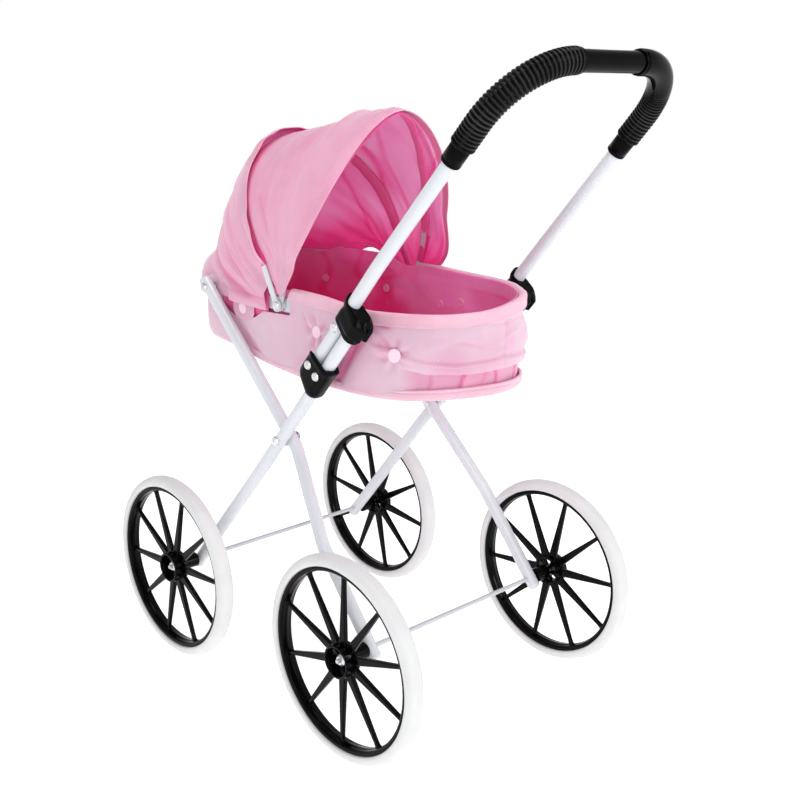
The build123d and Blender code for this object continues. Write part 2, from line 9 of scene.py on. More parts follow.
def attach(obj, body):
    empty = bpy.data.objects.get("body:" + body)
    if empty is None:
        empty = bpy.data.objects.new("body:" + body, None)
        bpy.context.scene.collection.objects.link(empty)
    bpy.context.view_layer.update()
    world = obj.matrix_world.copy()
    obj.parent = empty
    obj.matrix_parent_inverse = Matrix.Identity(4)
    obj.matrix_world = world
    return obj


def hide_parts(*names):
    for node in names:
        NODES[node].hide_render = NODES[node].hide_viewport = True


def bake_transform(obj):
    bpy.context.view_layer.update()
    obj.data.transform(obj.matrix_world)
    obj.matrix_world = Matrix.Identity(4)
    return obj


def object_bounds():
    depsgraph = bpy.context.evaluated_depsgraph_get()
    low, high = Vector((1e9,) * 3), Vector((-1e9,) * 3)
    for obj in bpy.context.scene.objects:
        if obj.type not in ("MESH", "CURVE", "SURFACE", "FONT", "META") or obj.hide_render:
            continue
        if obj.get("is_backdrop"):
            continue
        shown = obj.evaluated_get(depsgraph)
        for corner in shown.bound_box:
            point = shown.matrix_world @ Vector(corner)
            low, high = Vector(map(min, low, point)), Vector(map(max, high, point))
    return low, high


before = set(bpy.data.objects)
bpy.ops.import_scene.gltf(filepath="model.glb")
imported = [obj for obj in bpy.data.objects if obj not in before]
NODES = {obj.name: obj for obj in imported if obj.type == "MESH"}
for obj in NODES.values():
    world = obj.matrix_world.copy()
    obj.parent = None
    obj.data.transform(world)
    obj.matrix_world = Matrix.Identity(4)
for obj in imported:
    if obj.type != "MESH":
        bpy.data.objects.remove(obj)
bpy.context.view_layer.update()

# Lengths below are millimetres with x = 0 midway between the axles; XS puts the box's middle at x = 0.
XS = 34.65


def V(x, y, z):
    return Vector(((x + XS) * 0.001, y * 0.001, z * 0.001))


def metres(P):
    P = np.array(P, float)
    P[..., 0] += XS
    return P * 0.001


def smooth(t):
    t = np.clip(t, 0.0, 1.0)
    return t * t * (3 - 2 * t)


def bell(d, w):
    return np.exp(-(d / w) ** 2)


class Waves:
    """Smooth seeded noise: a sum of plane waves in two coordinates."""

    def __init__(self, seed, n=9):
        r = np.random.default_rng(seed)
        self.a = r.uniform(0, 2 * pi, n)
        self.k = r.uniform(0.45, 1.55, n)
        self.p = r.uniform(0, 2 * pi, n)

    def __call__(self, u, v):
        out = 0.0
        for a, k, p in zip(self.a, self.k, self.p):
            out = out + np.sin(k * (u * cos(a) + v * sin(a)) + p)
        return out / sqrt(len(self.a))


# ------------------------------------------------------------------ materials
def srgb(r, g, b):
    def one(c):
        c /= 255.0
        return c / 12.92 if c <= 0.04045 else ((c + 0.055) / 1.055) ** 2.4
    return (one(r), one(g), one(b), 1.0)


class Mat:
    """A node material with a few short-hands."""

    def __init__(self, name):
        self.m = bpy.data.materials.new(name)
        self.m.use_nodes = True
        self.t = self.m.node_tree
        self.p = self.t.nodes["Principled BSDF"]

    def node(self, kind, **kw):
        n = self.t.nodes.new(kind)
        for k, v in kw.items():
            setattr(n, k, v)
        return n

    def link(self, a, b):
        self.t.links.new(a, b)

    def set(self, **kw):
        for k, v in kw.items():
            self.p.inputs[k.replace("_", " ")].default_value = v

    def coords(self):
        return self.node("ShaderNodeTexCoord").outputs["Object"]

    def uv(self):
        return self.node("ShaderNodeUVMap", uv_map="UVMap").outputs["UV"]

    def scaled(self, src, s):
        n = self.node("ShaderNodeMapping")
        n.inputs["Scale"].default_value = s
        self.link(src, n.inputs["Vector"])
        return n.outputs["Vector"]

    def noise(self, src, scale, detail=3.0, rough=0.5):
        n = self.node("ShaderNodeTexNoise")
        n.inputs["Scale"].default_value = scale
        n.inputs["Detail"].default_value = detail
        n.inputs["Roughness"].default_value = rough
        self.link(src, n.inputs["Vector"])
        return n.outputs["Fac"]

    def ramp(self, fac, stops):
        n = self.node("ShaderNodeValToRGB")
        e = n.color_ramp.elements
        while len(e) < len(stops):
            e.new(0.5)
        for el, (pos, col) in zip(e, stops):
            el.position, el.color = pos, col
        self.link(fac, n.inputs["Fac"])
        return n.outputs["Color"]

    def remap(self, fac, lo, hi, a=0.3, b=0.7):
        n = self.node("ShaderNodeMapRange")
        for k, v in (("From Min", a), ("From Max", b), ("To Min", lo), ("To Max", hi)):
            n.inputs[k].default_value = v
        self.link(fac, n.inputs["Value"])
        return n.outputs["Result"]

    def math(self, op, a, b):
        n = self.node("ShaderNodeMath", operation=op)
        for sock, val in zip(n.inputs, (a, b)):
            if isinstance(val, (int, float)):
                sock.default_value = val
            else:
                self.link(val, sock)
        return n.outputs["Value"]

    def mix(self, fac, a, b, how="MIX"):
        n = self.node("ShaderNodeMix", data_type="RGBA", blend_type=how)
        for key, val in ((0, fac), (6, a), (7, b)):
            if isinstance(val, (int, float, tuple)):
                n.inputs[key].default_value = val
            else:
                self.link(val, n.inputs[key])
        return n.outputs[2]

    def bump(self, height, strength, distance, normal=None):
        n = self.node("ShaderNodeBump")
        n.inputs["Strength"].default_value = strength
        n.inputs["Distance"].default_value = distance
        self.link(height, n.inputs["Height"])
        if normal is not None:
            self.link(normal, n.inputs["Normal"])
        return n.outputs["Normal"]

    def done(self, color=None, rough=None, normal=None):
        for sock, val in (("Base Color", color), ("Roughness", rough), ("Normal", normal)):
            if val is not None:
                self.link(val, self.p.inputs[sock])
        return self.m


def fabric(name, light, mid, dark, rough=0.62, sheen=0.3, tint=(1, 0.9, 0.95, 1), pitch=0.0007, glow=0.0, painted_light=None, key="painted_light", bleed=(1.0, 0.55, 0.6)):
    """Plain-woven polyester: threads both ways, uneven yarns, faint cloudy shade."""
    f = Mat(name)
    uv, ob = f.uv(), f.coords()
    warp = f.node("ShaderNodeTexWave", wave_type="BANDS", bands_direction="X", wave_profile="SIN")
    weft = f.node("ShaderNodeTexWave", wave_type="BANDS", bands_direction="Y", wave_profile="SIN")
    for w in (warp, weft):
        w.inputs["Scale"].default_value = 2 * pi / (20 * pitch)
        w.inputs["Distortion"].default_value = 0.6
        w.inputs["Detail"].default_value = 1.0
        w.inputs["Detail Scale"].default_value = 0.05
        f.link(uv, w.inputs["Vector"])
    weave = f.math("MAXIMUM", warp.outputs["Fac"], weft.outputs["Fac"])
    slub_u = f.noise(f.scaled(uv, (60, 1400, 1)), 1.0, 2.0)
    slub_v = f.noise(f.scaled(uv, (1400, 60, 1)), 1.0, 2.0)
    slub = f.math("ADD", f.math("MULTIPLY", slub_u, 0.5), f.math("MULTIPLY", slub_v, 0.5))
    cloud = f.noise(ob, 16.0, 4.0, 0.55)
    colour = f.ramp(cloud, [(0.28, dark), (0.5, mid), (0.74, light)])
    colour = f.mix(f.remap(slub, 0.0, 0.35), colour, light, "SOFT_LIGHT")
    if painted_light:
        # painted shade: the attribute named by key mixes in a deeper pink where folds, slits and hollows lie in shade
        painted_shade = f.node("ShaderNodeAttribute", attribute_name=key)
        colour = f.mix(painted_shade.outputs["Fac"], colour, painted_light)
    crease = f.noise(ob, 130.0, 3.0, 0.6)
    normal = f.bump(crease, 0.16, 0.0012)
    normal = f.bump(f.math("ADD", weave, slub), 0.2, 0.00022, normal)
    f.set(Sheen_Weight=sheen, Sheen_Roughness=0.45, Sheen_Tint=tint, Specular_IOR_Level=0.32)
    if glow:
        f.set(Subsurface_Weight=glow, Subsurface_Radius=bleed, Subsurface_Scale=0.004)
    return f.done(colour, f.remap(slub, rough - 0.06, rough + 0.08), normal)


def paint(name, light, dark, rough=0.22):
    """Powder-coated steel tube: smooth gloss with a faint orange peel."""
    f = Mat(name)
    ob = f.coords()
    cloud = f.noise(ob, 9.0, 3.0)
    peel = f.noise(ob, 900.0, 2.0)
    speck = f.noise(ob, 2600.0, 1.0)
    colour = f.ramp(cloud, [(0.3, dark), (0.7, light)])
    f.set(Coat_Weight=0.35, Coat_Roughness=0.08, Specular_IOR_Level=0.5)
    normal = f.bump(peel, 0.06, 0.0004)
    return f.done(colour, f.remap(speck, rough - 0.03, rough + 0.07), normal)


def plastic(name, base, edge, rough=0.34, grain=1500.0, strength=0.14, spec=0.5, crest_highlight=None):
    """Injection-moulded plastic with a fine spark-eroded grain, slight scuffing in its roughness and, when asked, a
    painted highlight that lightens marked crests.
    """
    f = Mat(name)
    ob = f.coords()
    fine = f.noise(ob, grain, 2.0)
    cloud = f.noise(ob, 28.0, 4.0, 0.6)
    scuff = f.noise(f.scaled(ob, (40, 400, 400)), 1.0, 4.0, 0.65)
    colour = f.ramp(cloud, [(0.3, base), (0.75, edge)])
    if crest_highlight:
        # painted highlight: crests marked by the attribute are lightened, for the light lines along the grip's ribs
        crest_mask = f.node("ShaderNodeAttribute", attribute_name="painted_light")
        colour = f.mix(crest_mask.outputs["Fac"], colour, crest_highlight)
    f.set(Specular_IOR_Level=spec)
    normal = f.bump(fine, strength, 0.00025)
    rough_out = f.math("ADD", f.remap(scuff, rough - 0.07, rough + 0.1), f.remap(fine, -0.03, 0.03))
    return f.done(colour, rough_out, normal)


def metal(name, light, dark, rough=0.28):
    f = Mat(name)
    ob = f.coords()
    grain = f.noise(f.scaled(ob, (300, 2200, 300)), 1.0, 3.0)
    cloud = f.noise(ob, 60.0, 3.0)
    colour = f.ramp(cloud, [(0.3, dark), (0.7, light)])
    f.set(Metallic=1.0)
    return f.done(colour, f.remap(grain, rough - 0.08, rough + 0.12), f.bump(grain, 0.08, 0.0002))


# painted shade: the deeper pink that the outer faces of the cloth take in their shaded folds
PAINTED_SHADE_PINK = srgb(232, 84, 150)
M_PINK = fabric("pink_outer", srgb(224, 175, 195), srgb(219, 166, 187), srgb(211, 154, 177), glow=0.8, painted_light=PAINTED_SHADE_PINK)
M_SKIRT = fabric("pink_skirt", srgb(240, 192, 207), srgb(236, 184, 201), srgb(230, 173, 191), glow=0.8, painted_light=PAINTED_SHADE_PINK)
M_HEM = fabric("pink_hem", srgb(230, 191, 205), srgb(226, 184, 199), srgb(220, 173, 190), glow=0.8, painted_light=PAINTED_SHADE_PINK)
# painted light: the inner face of the same cloth, paler than the outer face to stand in for light coming through it;
# painted shade deepens it in the hollows
M_DEEP = fabric("pink_inner_face", srgb(246, 190, 213), srgb(242, 178, 205), srgb(236, 163, 195), rough=0.5, sheen=0.18,
                tint=(1, 0.7, 0.85, 1), glow=1.0, painted_light=srgb(228, 58, 138), key="painted_shade", bleed=(1.0, 0.8, 0.95))
# painted shade: a deeper pink than the lining, for the shade inside the notch
M_FACING = fabric("pink_facing", srgb(232, 104, 162), srgb(226, 88, 150), srgb(214, 70, 136), rough=0.5, sheen=0.18)
M_LINER = fabric("pink_liner", srgb(254, 160, 206), srgb(252, 144, 197), srgb(247, 124, 185), rough=0.5, sheen=0.18,
                 tint=(1, 0.7, 0.85, 1), glow=0.5, painted_light=srgb(250, 62, 142), bleed=(1.0, 0.8, 0.95))
M_PLEAT = fabric("pink_pleats", srgb(236, 164, 195), srgb(231, 152, 186), srgb(222, 136, 174), painted_light=srgb(224, 80, 146), key="painted_shade")
M_SLEEVE = fabric("pink_sleeve", srgb(244, 140, 192), srgb(238, 126, 182), srgb(230, 110, 170), rough=0.5, sheen=0.18, tint=(1, 0.7, 0.85, 1),
                  painted_light=srgb(226, 54, 136), key="painted_shade")
M_WHITE = paint("white_paint", srgb(214, 218, 223), srgb(208, 212, 218))
M_TYRE = plastic("tyre_foam", srgb(213, 214, 214), srgb(221, 222, 222), rough=0.5, grain=700.0, strength=0.1)
M_BLACK = plastic("black_plastic", srgb(3, 3, 4), srgb(7, 7, 8), rough=0.13, strength=0.04, spec=0.08)
M_GRIP = plastic("grip_rubber", srgb(3, 3, 4), srgb(6, 6, 7), rough=0.13, grain=900.0, strength=0.02, spec=0.05, crest_highlight=srgb(62, 61, 62))
M_AXLE = paint("axle_zinc", srgb(204, 208, 212), srgb(194, 198, 203), rough=0.34)
M_STEEL = metal("zinc_steel", (0.78, 0.78, 0.79, 1), (0.6, 0.6, 0.62, 1))
M_STUD = plastic("stud_pink", srgb(243, 204, 219), srgb(247, 214, 227), rough=0.2, grain=1200.0, strength=0.05)
M_THREAD = fabric("thread", srgb(250, 205, 225), srgb(245, 193, 216), srgb(238, 180, 208), rough=0.5, pitch=0.0004)
M_THREAD_DEEP = fabric("thread_deep", srgb(225, 80, 145), srgb(214, 62, 130), srgb(200, 46, 116), rough=0.5, pitch=0.0004)


# ------------------------------------------------------------------ mesh help
def finish_mesh(name, verts, faces, mats, uvs=None, slots=None, sharp=None):
    me = bpy.data.meshes.new(name)
    me.from_pydata([tuple(v) for v in verts], [], [tuple(int(i) for i in f) for f in faces])
    for m in mats:
        me.materials.append(m)
    me.polygons.foreach_set("use_smooth", [True] * len(me.polygons))
    layer = me.uv_layers.new(name="UVMap")
    if uvs is not None:
        layer.data.foreach_set("uv", np.asarray(uvs, np.float32).ravel())
    else:
        co = np.array([v.co for v in me.vertices]).reshape(-1, 3)
        loops = np.empty(len(me.loops), np.int32)
        me.loops.foreach_get("vertex_index", loops)
        p = co[loops]
        layer.data.foreach_set("uv", np.column_stack([p[:, 0] + p[:, 1], p[:, 2] + 0.3 * p[:, 1]]).astype(np.float32).ravel())
    if slots is not None:
        me.polygons.foreach_set("material_index", np.asarray(slots, np.int32))
    if sharp is not None:
        me.set_sharp_from_angle(angle=radians(sharp))
    me.update()
    ob = bpy.data.objects.new(name, me)
    bpy.context.scene.collection.objects.link(ob)
    return ob


def grid_faces(n, m, wu=False, wv=False, flip=False):
    i = np.arange(n if wu else n - 1)
    j = np.arange(m if wv else m - 1)
    I, J = np.meshgrid(i, j, indexing="ij")
    a = (I * m + J).ravel()
    b = (((I + 1) % n) * m + J).ravel()
    c = (((I + 1) % n) * m + (J + 1) % m).ravel()
    d = (I * m + (J + 1) % m).ravel()
    q = np.column_stack([a, d, c, b] if flip else [a, b, c, d])
    return q, I.ravel(), J.ravel()


def grid(name, P, mats, wu=False, wv=False, flip=False, slots=None):
    """A quad sheet from an (n, m, 3) array of mm points, with UVs in metres along both ways."""
    n, m = P.shape[:2]
    W = metres(P)
    q, I, J = grid_faces(n, m, wu, wv, flip)
    du = np.linalg.norm(np.diff(np.concatenate([W, W[:1]], 0), axis=0), axis=2).mean(1)
    dv = np.linalg.norm(np.diff(np.concatenate([W, W[:, :1]], 1), axis=1), axis=2).mean(0)
    U = np.concatenate([[0], np.cumsum(du)])
    T = np.concatenate([[0], np.cumsum(dv)])
    ua, ub, va, vb = U[I], U[I + 1], T[J], T[J + 1]
    if flip:
        uv = np.stack([np.column_stack([ua, va]), np.column_stack([ua, vb]), np.column_stack([ub, vb]), np.column_stack([ub, va])], 1)
    else:
        uv = np.stack([np.column_stack([ua, va]), np.column_stack([ub, va]), np.column_stack([ub, vb]), np.column_stack([ua, vb])], 1)
    sl = None if slots is None else slots(I, J)
    return finish_mesh(name, W.reshape(-1, 3), q, mats, uv, sl)


class Build:
    """Collects several shapes (metres) into one mesh."""

    def __init__(self):
        self.v, self.f, self.s = [], [], []
        self.n = 0

    def add(self, verts, faces, slot=0):
        verts = np.asarray(verts, float).reshape(-1, 3)
        self.v.append(verts)
        self.f += [tuple(int(i) + self.n for i in f) for f in faces]
        self.s += [slot] * len(faces)
        self.n += len(verts)

    def make(self, name, mats, sharp=35):
        return finish_mesh(name, np.concatenate(self.v), self.f, mats, None, self.s, sharp)


def lathe(profile, origin, axis, seg=48, closed=False, turn=0.0):
    """Verts and faces of a turned profile of (radius, height) in mm about origin (mm) and axis."""
    axis = Vector(axis).normalized()
    ref = Vector((0, 0, 1)) if abs(axis.z) < 0.9 else Vector((1, 0, 0))
    e1 = (ref - axis * ref.dot(axis)).normalized()
    e2 = axis.cross(e1)
    o = V(*origin)
    verts, faces, rings = [], [], []
    for r, h in profile:
        if r < 1e-6:
            rings.append([len(verts)])
            verts.append(o + axis * (h * 0.001))
        else:
            ring = []
            for k in range(seg):
                a = 2 * pi * k / seg + turn
                ring.append(len(verts))
                verts.append(o + axis * (h * 0.001) + (e1 * cos(a) + e2 * sin(a)) * (r * 0.001))
            rings.append(ring)
    pairs = list(zip(rings[:-1], rings[1:])) + ([(rings[-1], rings[0])] if closed else [])
    for A, B in pairs:
        for k in range(seg):
            k2 = (k + 1) % seg
            if len(A) == 1 and len(B) == 1:
                continue
            if len(A) == 1:
                faces.append((A[0], B[k2], B[k]))
            elif len(B) == 1:
                faces.append((A[k], A[k2], B[0]))
            else:
                faces.append((A[k], A[k2], B[k2], B[k]))
    return verts, faces


def loft(sections, cap=True):
    """Verts and faces through equal rings of points (metres)."""
    k = len(sections[0])
    verts = [p for s in sections for p in s]
    faces = []
    for i in range(len(sections) - 1):
        for j in range(k):
            j2 = (j + 1) % k
            faces.append((i * k + j, i * k + j2, (i + 1) * k + j2, (i + 1) * k + j))
    if cap:
        faces.append(tuple(reversed(range(k))))
        faces.append(tuple((len(sections) - 1) * k + j for j in range(k)))
    return verts, faces


def fix_normals(ob):
    bm = bmesh.new()
    bm.from_mesh(ob.data)
    bmesh.ops.recalc_face_normals(bm, faces=bm.faces)
    bm.to_mesh(ob.data)
    bm.free()


def fillet_path(points, radii, step):
    """Points along straight runs joined by arcs, about step apart; mm, measured frame."""
    pts = [np.array(p, float) for p in points]
    out = [pts[0]]

    def run(a, b):
        n = max(1, int(round(np.linalg.norm(b - a) / step)))
        for i in range(1, n + 1):
            out.append(a + (b - a) * i / n)
    here = pts[0]
    for i in range(1, len(pts) - 1):
        d0 = pts[i] - pts[i - 1]
        d0 /= np.linalg.norm(d0)
        d1 = pts[i + 1] - pts[i]
        d1 /= np.linalg.norm(d1)
        ang = np.arccos(np.clip(d0 @ d1, -1, 1))
        t = radii[i - 1] * np.tan(ang / 2)
        a = pts[i] - d0 * t
        run(here, a)
        nrm = d1 - d0 * (d0 @ d1)
        nrm /= np.linalg.norm(nrm)
        c = a + nrm * radii[i - 1]
        n = max(2, int(round(radii[i - 1] * ang / step)))
        for k in range(1, n + 1):
            w = ang * k / n
            out.append(c - nrm * radii[i - 1] * np.cos(w) + d0 * radii[i - 1] * np.sin(w))
        here = out[-1]
    run(here, pts[-1])
    return np.array(out)


def frames(path):
    """Tangents and two parallel-transported normals along a path."""
    T = np.gradient(path, axis=0)
    T /= np.linalg.norm(T, axis=1)[:, None]
    n = np.cross(T[0], [0.13, 1.0, 0.07])
    n /= np.linalg.norm(n)
    N = [n]
    for i in range(1, len(path)):
        n = N[-1] - T[i] * (N[-1] @ T[i])
        N.append(n / np.linalg.norm(n))
    N = np.array(N)
    return T, N, np.cross(T, N)


def tube(path, radius, seg=28, close=True):
    """Points (n, seg, 3) of a tube; radius is a number, an array along it, or an (n, seg) array."""
    T, N, B = frames(path)
    a = np.linspace(0, 2 * pi, seg, endpoint=False)
    R = np.broadcast_to(np.asarray(radius, float).reshape(len(path), -1) if np.ndim(radius) else np.full((len(path), 1), float(radius)),
                        (len(path), seg))
    return path[:, None, :] + R[:, :, None] * (np.cos(a)[None, :, None] * N[:, None, :] + np.sin(a)[None, :, None] * B[:, None, :])


def add_tube(b, path, radius, seg=28, slot=0, cap=True):
    P = metres(tube(path, radius, seg))
    v, f = loft([list(p) for p in P], cap)
    b.add(v, f, slot)


def stitches(name, path, normals, mat, body, pitch=3.6, length=2.5, r=0.36, lift=0.25):
    """A row of thread stitches lying on a line of points (mm) with surface normals."""
    path, normals = np.asarray(path, float), np.asarray(normals, float)
    seg = np.linalg.norm(np.diff(path, axis=0), axis=1)
    s = np.concatenate([[0], np.cumsum(seg)])
    b = Build()
    ring = [(cos(a), sin(a)) for a in np.linspace(0, 2 * pi, 6, endpoint=False)]
    pos = pitch * 0.5
    while pos + length < s[-1]:
        stations = []
        for f, rad in ((0.0, 0.35), (0.2, 0.95), (0.5, 1.0), (0.8, 0.95), (1.0, 0.35)):
            t = pos + f * length
            p = np.array([np.interp(t, s, path[:, k]) for k in range(3)])
            q = np.array([np.interp(min(t + 0.4, s[-1]), s, path[:, k]) for k in range(3)])
            nrm = np.array([np.interp(t, s, normals[:, k]) for k in range(3)])
            nrm /= np.linalg.norm(nrm) + 1e-9
            tan = q - p
            tan /= np.linalg.norm(tan) + 1e-9
            side = np.cross(tan, nrm)
            dip = lift + 0.25 * sin(pi * f) - 0.25
            stations.append([p + nrm * (dip + r * rad * cb) + side * (r * rad * ca) for ca, cb in ring])
        v, f = loft([list(metres(np.array(st))) for st in stations])
        b.add(v, f)
        pos += pitch
    ob = b.make(name, [mat], None)
    return ob


def subsurf(ob, level=1):
    m = ob.modifiers.new("Subdivision", "SUBSURF")
    m.levels = m.render_levels = level
    return ob


def thicken(ob, t, offset=-1.0, inner_slot=0, rim_slot=0):
    m = ob.modifiers.new("Solidify", "SOLIDIFY")
    m.thickness = t * 0.001
    m.offset = offset
    m.use_even_offset = False
    m.material_offset = inner_slot
    m.material_offset_rim = rim_slot
    return ob


def bevel(ob, w=0.5, seg=2, angle=32):
    m = ob.modifiers.new("Bevel", "BEVEL")
    m.width = w * 0.001
    m.segments = seg
    m.limit_method = "ANGLE"
    m.angle_limit = radians(angle)
    m.harden_normals = False
    return ob


def painted_light(ob, values, key="painted_light"):
    """Paint light into a mesh's colour: per vertex, how deep a painted shade a cloth takes on its outer face, or under
    a second key on its inner face; on the grips, how strong the painted highlight on the crests is.
    """
    a = ob.data.attributes.new(key, "FLOAT", "POINT")
    a.data.foreach_set("value", np.clip(values, 0, 1).astype(np.float32).ravel())


def ride(ob, body, slot, *nodes):
    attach(ob, body)
    if nodes:
        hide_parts(*nodes)
    return ob


# -------------------------------------------------------------- CAD dimensions
AXLE_X, WHEEL_Y = 154.6, 162.7
LEG_DIR = np.array([-0.6455, 0.0, 0.7638])
LEG_NRM = np.array([0.7638, 0.0, 0.6455])
TUBE_GAP, Y_B = 15.5, 121.0
S_PIVOT, S_BEND, S_COLLAR, S_GRIP, S_BAR = 358.0, 500.0, 637.0, 657.0, 750.0
BAR_OFF, Y_BAR, BAR_END = 10.5, 115.5, {1: 47.5, -1: 42.5}
HOOD_X, HOOD_Z = 22.0, 438.0


def at(s, off, y):
    p = np.array([154.6, 0.0, 110.0]) + s * LEG_DIR + off * LEG_NRM
    p[1] = y
    return p


# ------------------------------------------------------------ frame materials
for name, ob in NODES.items():
    if name.startswith(("leg_a", "leg_b", "handle_tube", "hood_front_bow", "hood_mid_bow", "basket_hoop", "scissor_washers")):
        m = M_WHITE
    elif name in ("axle_front", "axle_rear"):
        m = M_AXLE
    elif name.startswith(("axle", "scissor_rivets", "handle_pins", "bracket_rivets", "leg_pins", "hood_pins")):
        m = M_STEEL
    elif name.startswith(("grip", "collar")):
        m = M_GRIP
    elif name.startswith(("handle_bracket", "lock", "wheel")):
        m = M_BLACK
    elif name.startswith("tyre"):
        m = M_TYRE
    elif name.startswith("press_studs"):
        m = M_STUD
    elif name.startswith(("basket_liner", "base_board")):
        m = M_LINER
    else:
        m = M_PINK
    if ob.material_slots:
        for s in ob.material_slots:
            s.material = m
    else:
        ob.data.materials.append(m)

# --------------------------------------------------------------------- wheels
RIM_PROFILE = [(98.5, -7.4), (98.5, 7.4), (97.4, 7.75), (95.4, 7.75), (94.2, 7.3), (93.5, 6.4), (93.2, 5.2), (93.05, 2.2),
               (92.6, 1.3), (92.3, 0.0), (92.6, -1.3), (93.05, -2.2), (93.2, -5.2), (93.5, -6.4), (94.2, -7.3), (95.4, -7.75),
               (97.4, -7.75)]
TYRE_PROFILE = [(98.75, -8.6), (99.3, -9.6), (100.6, -10.2), (102.6, -10.25), (104.6, -9.8), (106.6, -8.7), (108.3, -6.9),
                (109.4, -4.6), (109.9, -2.2), (110.0, -0.5), (110.0, 0.5), (109.9, 2.2), (109.4, 4.6), (108.3, 6.9), (106.6, 8.7),
                (104.6, 9.8), (102.6, 10.25), (100.6, 10.2), (99.3, 9.6), (98.75, 8.6)]
CUP_PROFILE = [(18.0, -7.0), (18.0, 9.4), (17.75, 10.4), (17.0, 11.0), (16.0, 11.0), (15.3, 10.5), (15.0, 9.6), (14.3, -6.2),
               (14.6, -7.0)]
BOSS_PROFILE = [(2.6, -29.0), (8.0, -29.0), (8.6, -28.2), (8.2, -9.5), (7.4, -8.6), (6.9, -6.0), (6.5, 2.4), (6.1, 3.0), (2.6, 3.0)]
SPOKE = [(15.6, 12.4, 6.4), (18.4, 10.6, 5.8), (21.5, 9.4, 5.3), (40, 7.9, 5.2), (66, 5.9, 5.0), (86, 4.6, 4.8), (90.6, 5.0, 4.9),
         (92.0, 6.0, 5.2), (93.3, 8.0, 5.8)]


def wheel(tag, x, side, phase, body):
    o = (x, side * WHEEL_Y, 110.0)
    ax = (0, side, 0)
    b = Build()
    b.add(*lathe(RIM_PROFILE, o, ax, 128, closed=True))
    b.add(*lathe(CUP_PROFILE, o, ax, 56, closed=True))
    b.add(*lathe(BOSS_PROFILE, o, ax, 40, closed=True))
    oc = np.array(o)
    for k in range(10):
        a = radians(phase + 36 * k)
        rad = np.array([cos(a), 0, sin(a)])
        tan = np.array([-sin(a), 0, cos(a)])
        out = np.array([0, 1.0, 0])
        rings = []
        for r, w, t in SPOKE:
            w, t, c = w / 2, t / 2, 0.9
            pts = [(w, t - c), (w - c, t), (-w + c, t), (-w, t - c), (-w, -t + c), (-w + c, -t), (w - c, -t), (w, -t + c)]
            rings.append([Vector(metres(oc + rad * r + tan * p + out * q)) for p, q in pts])
        b.add(*loft(rings))
    # webs between the boss and the cup, with see-through windows between them
    for k in range(5):
        a = radians(phase + 18 + 72 * k)
        rad = np.array([cos(a), 0, sin(a)])
        tan = np.array([-sin(a), 0, cos(a)])
        rings = []
        for r, w, lo, hi in ((5.8, 4.4, -4.0, 1.6), (9.5, 5.4, -3.6, 0.9), (15.0, 9.6, -3.2, 0.4)):
            w /= 2
            pts = [(w, hi - 0.5), (w - 0.5, hi), (-w + 0.5, hi), (-w, hi - 0.5), (-w, lo), (w, lo)]
            rings.append([Vector(metres(oc + rad * r + tan * p + np.array([0, side * q, 0]))) for p, q in pts])
        b.add(*loft(rings))
    rim = b.make(f"spoked_wheel_{tag}", [M_BLACK], 38)
    fix_normals(rim)
    bevel(rim, 0.35, 2, 38)
    ride(rim, body, "black_plastic", f"wheel_{tag}")
    b = Build()
    b.add(*lathe(TYRE_PROFILE, o, ax, 160, closed=True))
    # fine mould line round the tread
    b.add(*lathe([(109.9, -0.35), (110.12, -0.15), (110.12, 0.15), (109.9, 0.35)], o, ax, 160, closed=True))
    t = b.make(f"foam_tyre_{tag}", [M_TYRE], 50)
    fix_normals(t)
    ride(t, body, "tyre_white", f"tyre_{tag}")


wheel("rear_left", -AXLE_X, 1, 19.0, "rear_left_wheel")
wheel("rear_right", -AXLE_X, -1, 29.75, "rear_right_wheel")
wheel("front_left", AXLE_X, 1, 31.5, "front_left_wheel")
wheel("front_right", AXLE_X, -1, 6.25, "front_right_wheel")

# --------------------------------------------------------------- tube end caps
P1 = np.array([146.0, 0, 442.0])
XP = np.array([-2.8, 0, 296.5])
ua = (P1 - XP) / np.linalg.norm(P1 - XP)
KNEE2 = np.array([-80.0, 0, 199.0])
AXR = np.array([-154.6, 0, 110.0])
ul = (AXR - KNEE2) / np.linalg.norm(AXR - KNEE2)
CAP = [(5.6, -4.0), (5.7, 0.0), (7.0, 0.0), (7.05, 0.8), (6.7, 2.0), (5.6, 3.2), (3.6, 4.1), (1.6, 4.5), (0, 4.6)]
b_in, b_out = Build(), Build()
for side in (1, -1):
    top = P1 + ua * 9.0
    low = AXR + ul * 9.0
    b_in.add(*lathe(CAP, (top[0], side * 106.0, top[2]), tuple(ua), 32))
    b_in.add(*lathe(CAP, (low[0], side * 126.0, low[2]), tuple(ul), 32))
    end = at(-9, 0, side * 126.0)
    b_out.add(*lathe(CAP, tuple(end), tuple(-LEG_DIR), 32))
    top = at(447.4, 0, side * Y_B)
    b_out.add(*lathe([(5.6, -4.0), (5.7, 0.6), (6.9, 0.6), (6.9, 1.0), (6.2, 1.6), (0, 1.7)], tuple(top), tuple(LEG_DIR), 32))
caps = b_in.make("inner_leg_caps", [M_WHITE], 40)
fix_normals(caps)
ride(caps, "inner_legs", "white_paint")
caps = b_out.make("outer_leg_caps", [M_WHITE], 40)
fix_normals(caps)
ride(caps, "outer_legs", "white_paint")

# --------------------------------------------------------------------- handle
fg = (S_GRIP - S_BEND) / (S_BAR - S_BEND)
fc = (S_COLLAR - S_BEND) / (S_BAR - S_BEND)


def on_tube(f, side=1):
    return at(S_BEND + f * (S_BAR - S_BEND), TUBE_GAP + f * (BAR_OFF - TUBE_GAP), side * (Y_B + f * (Y_BAR - Y_B)))


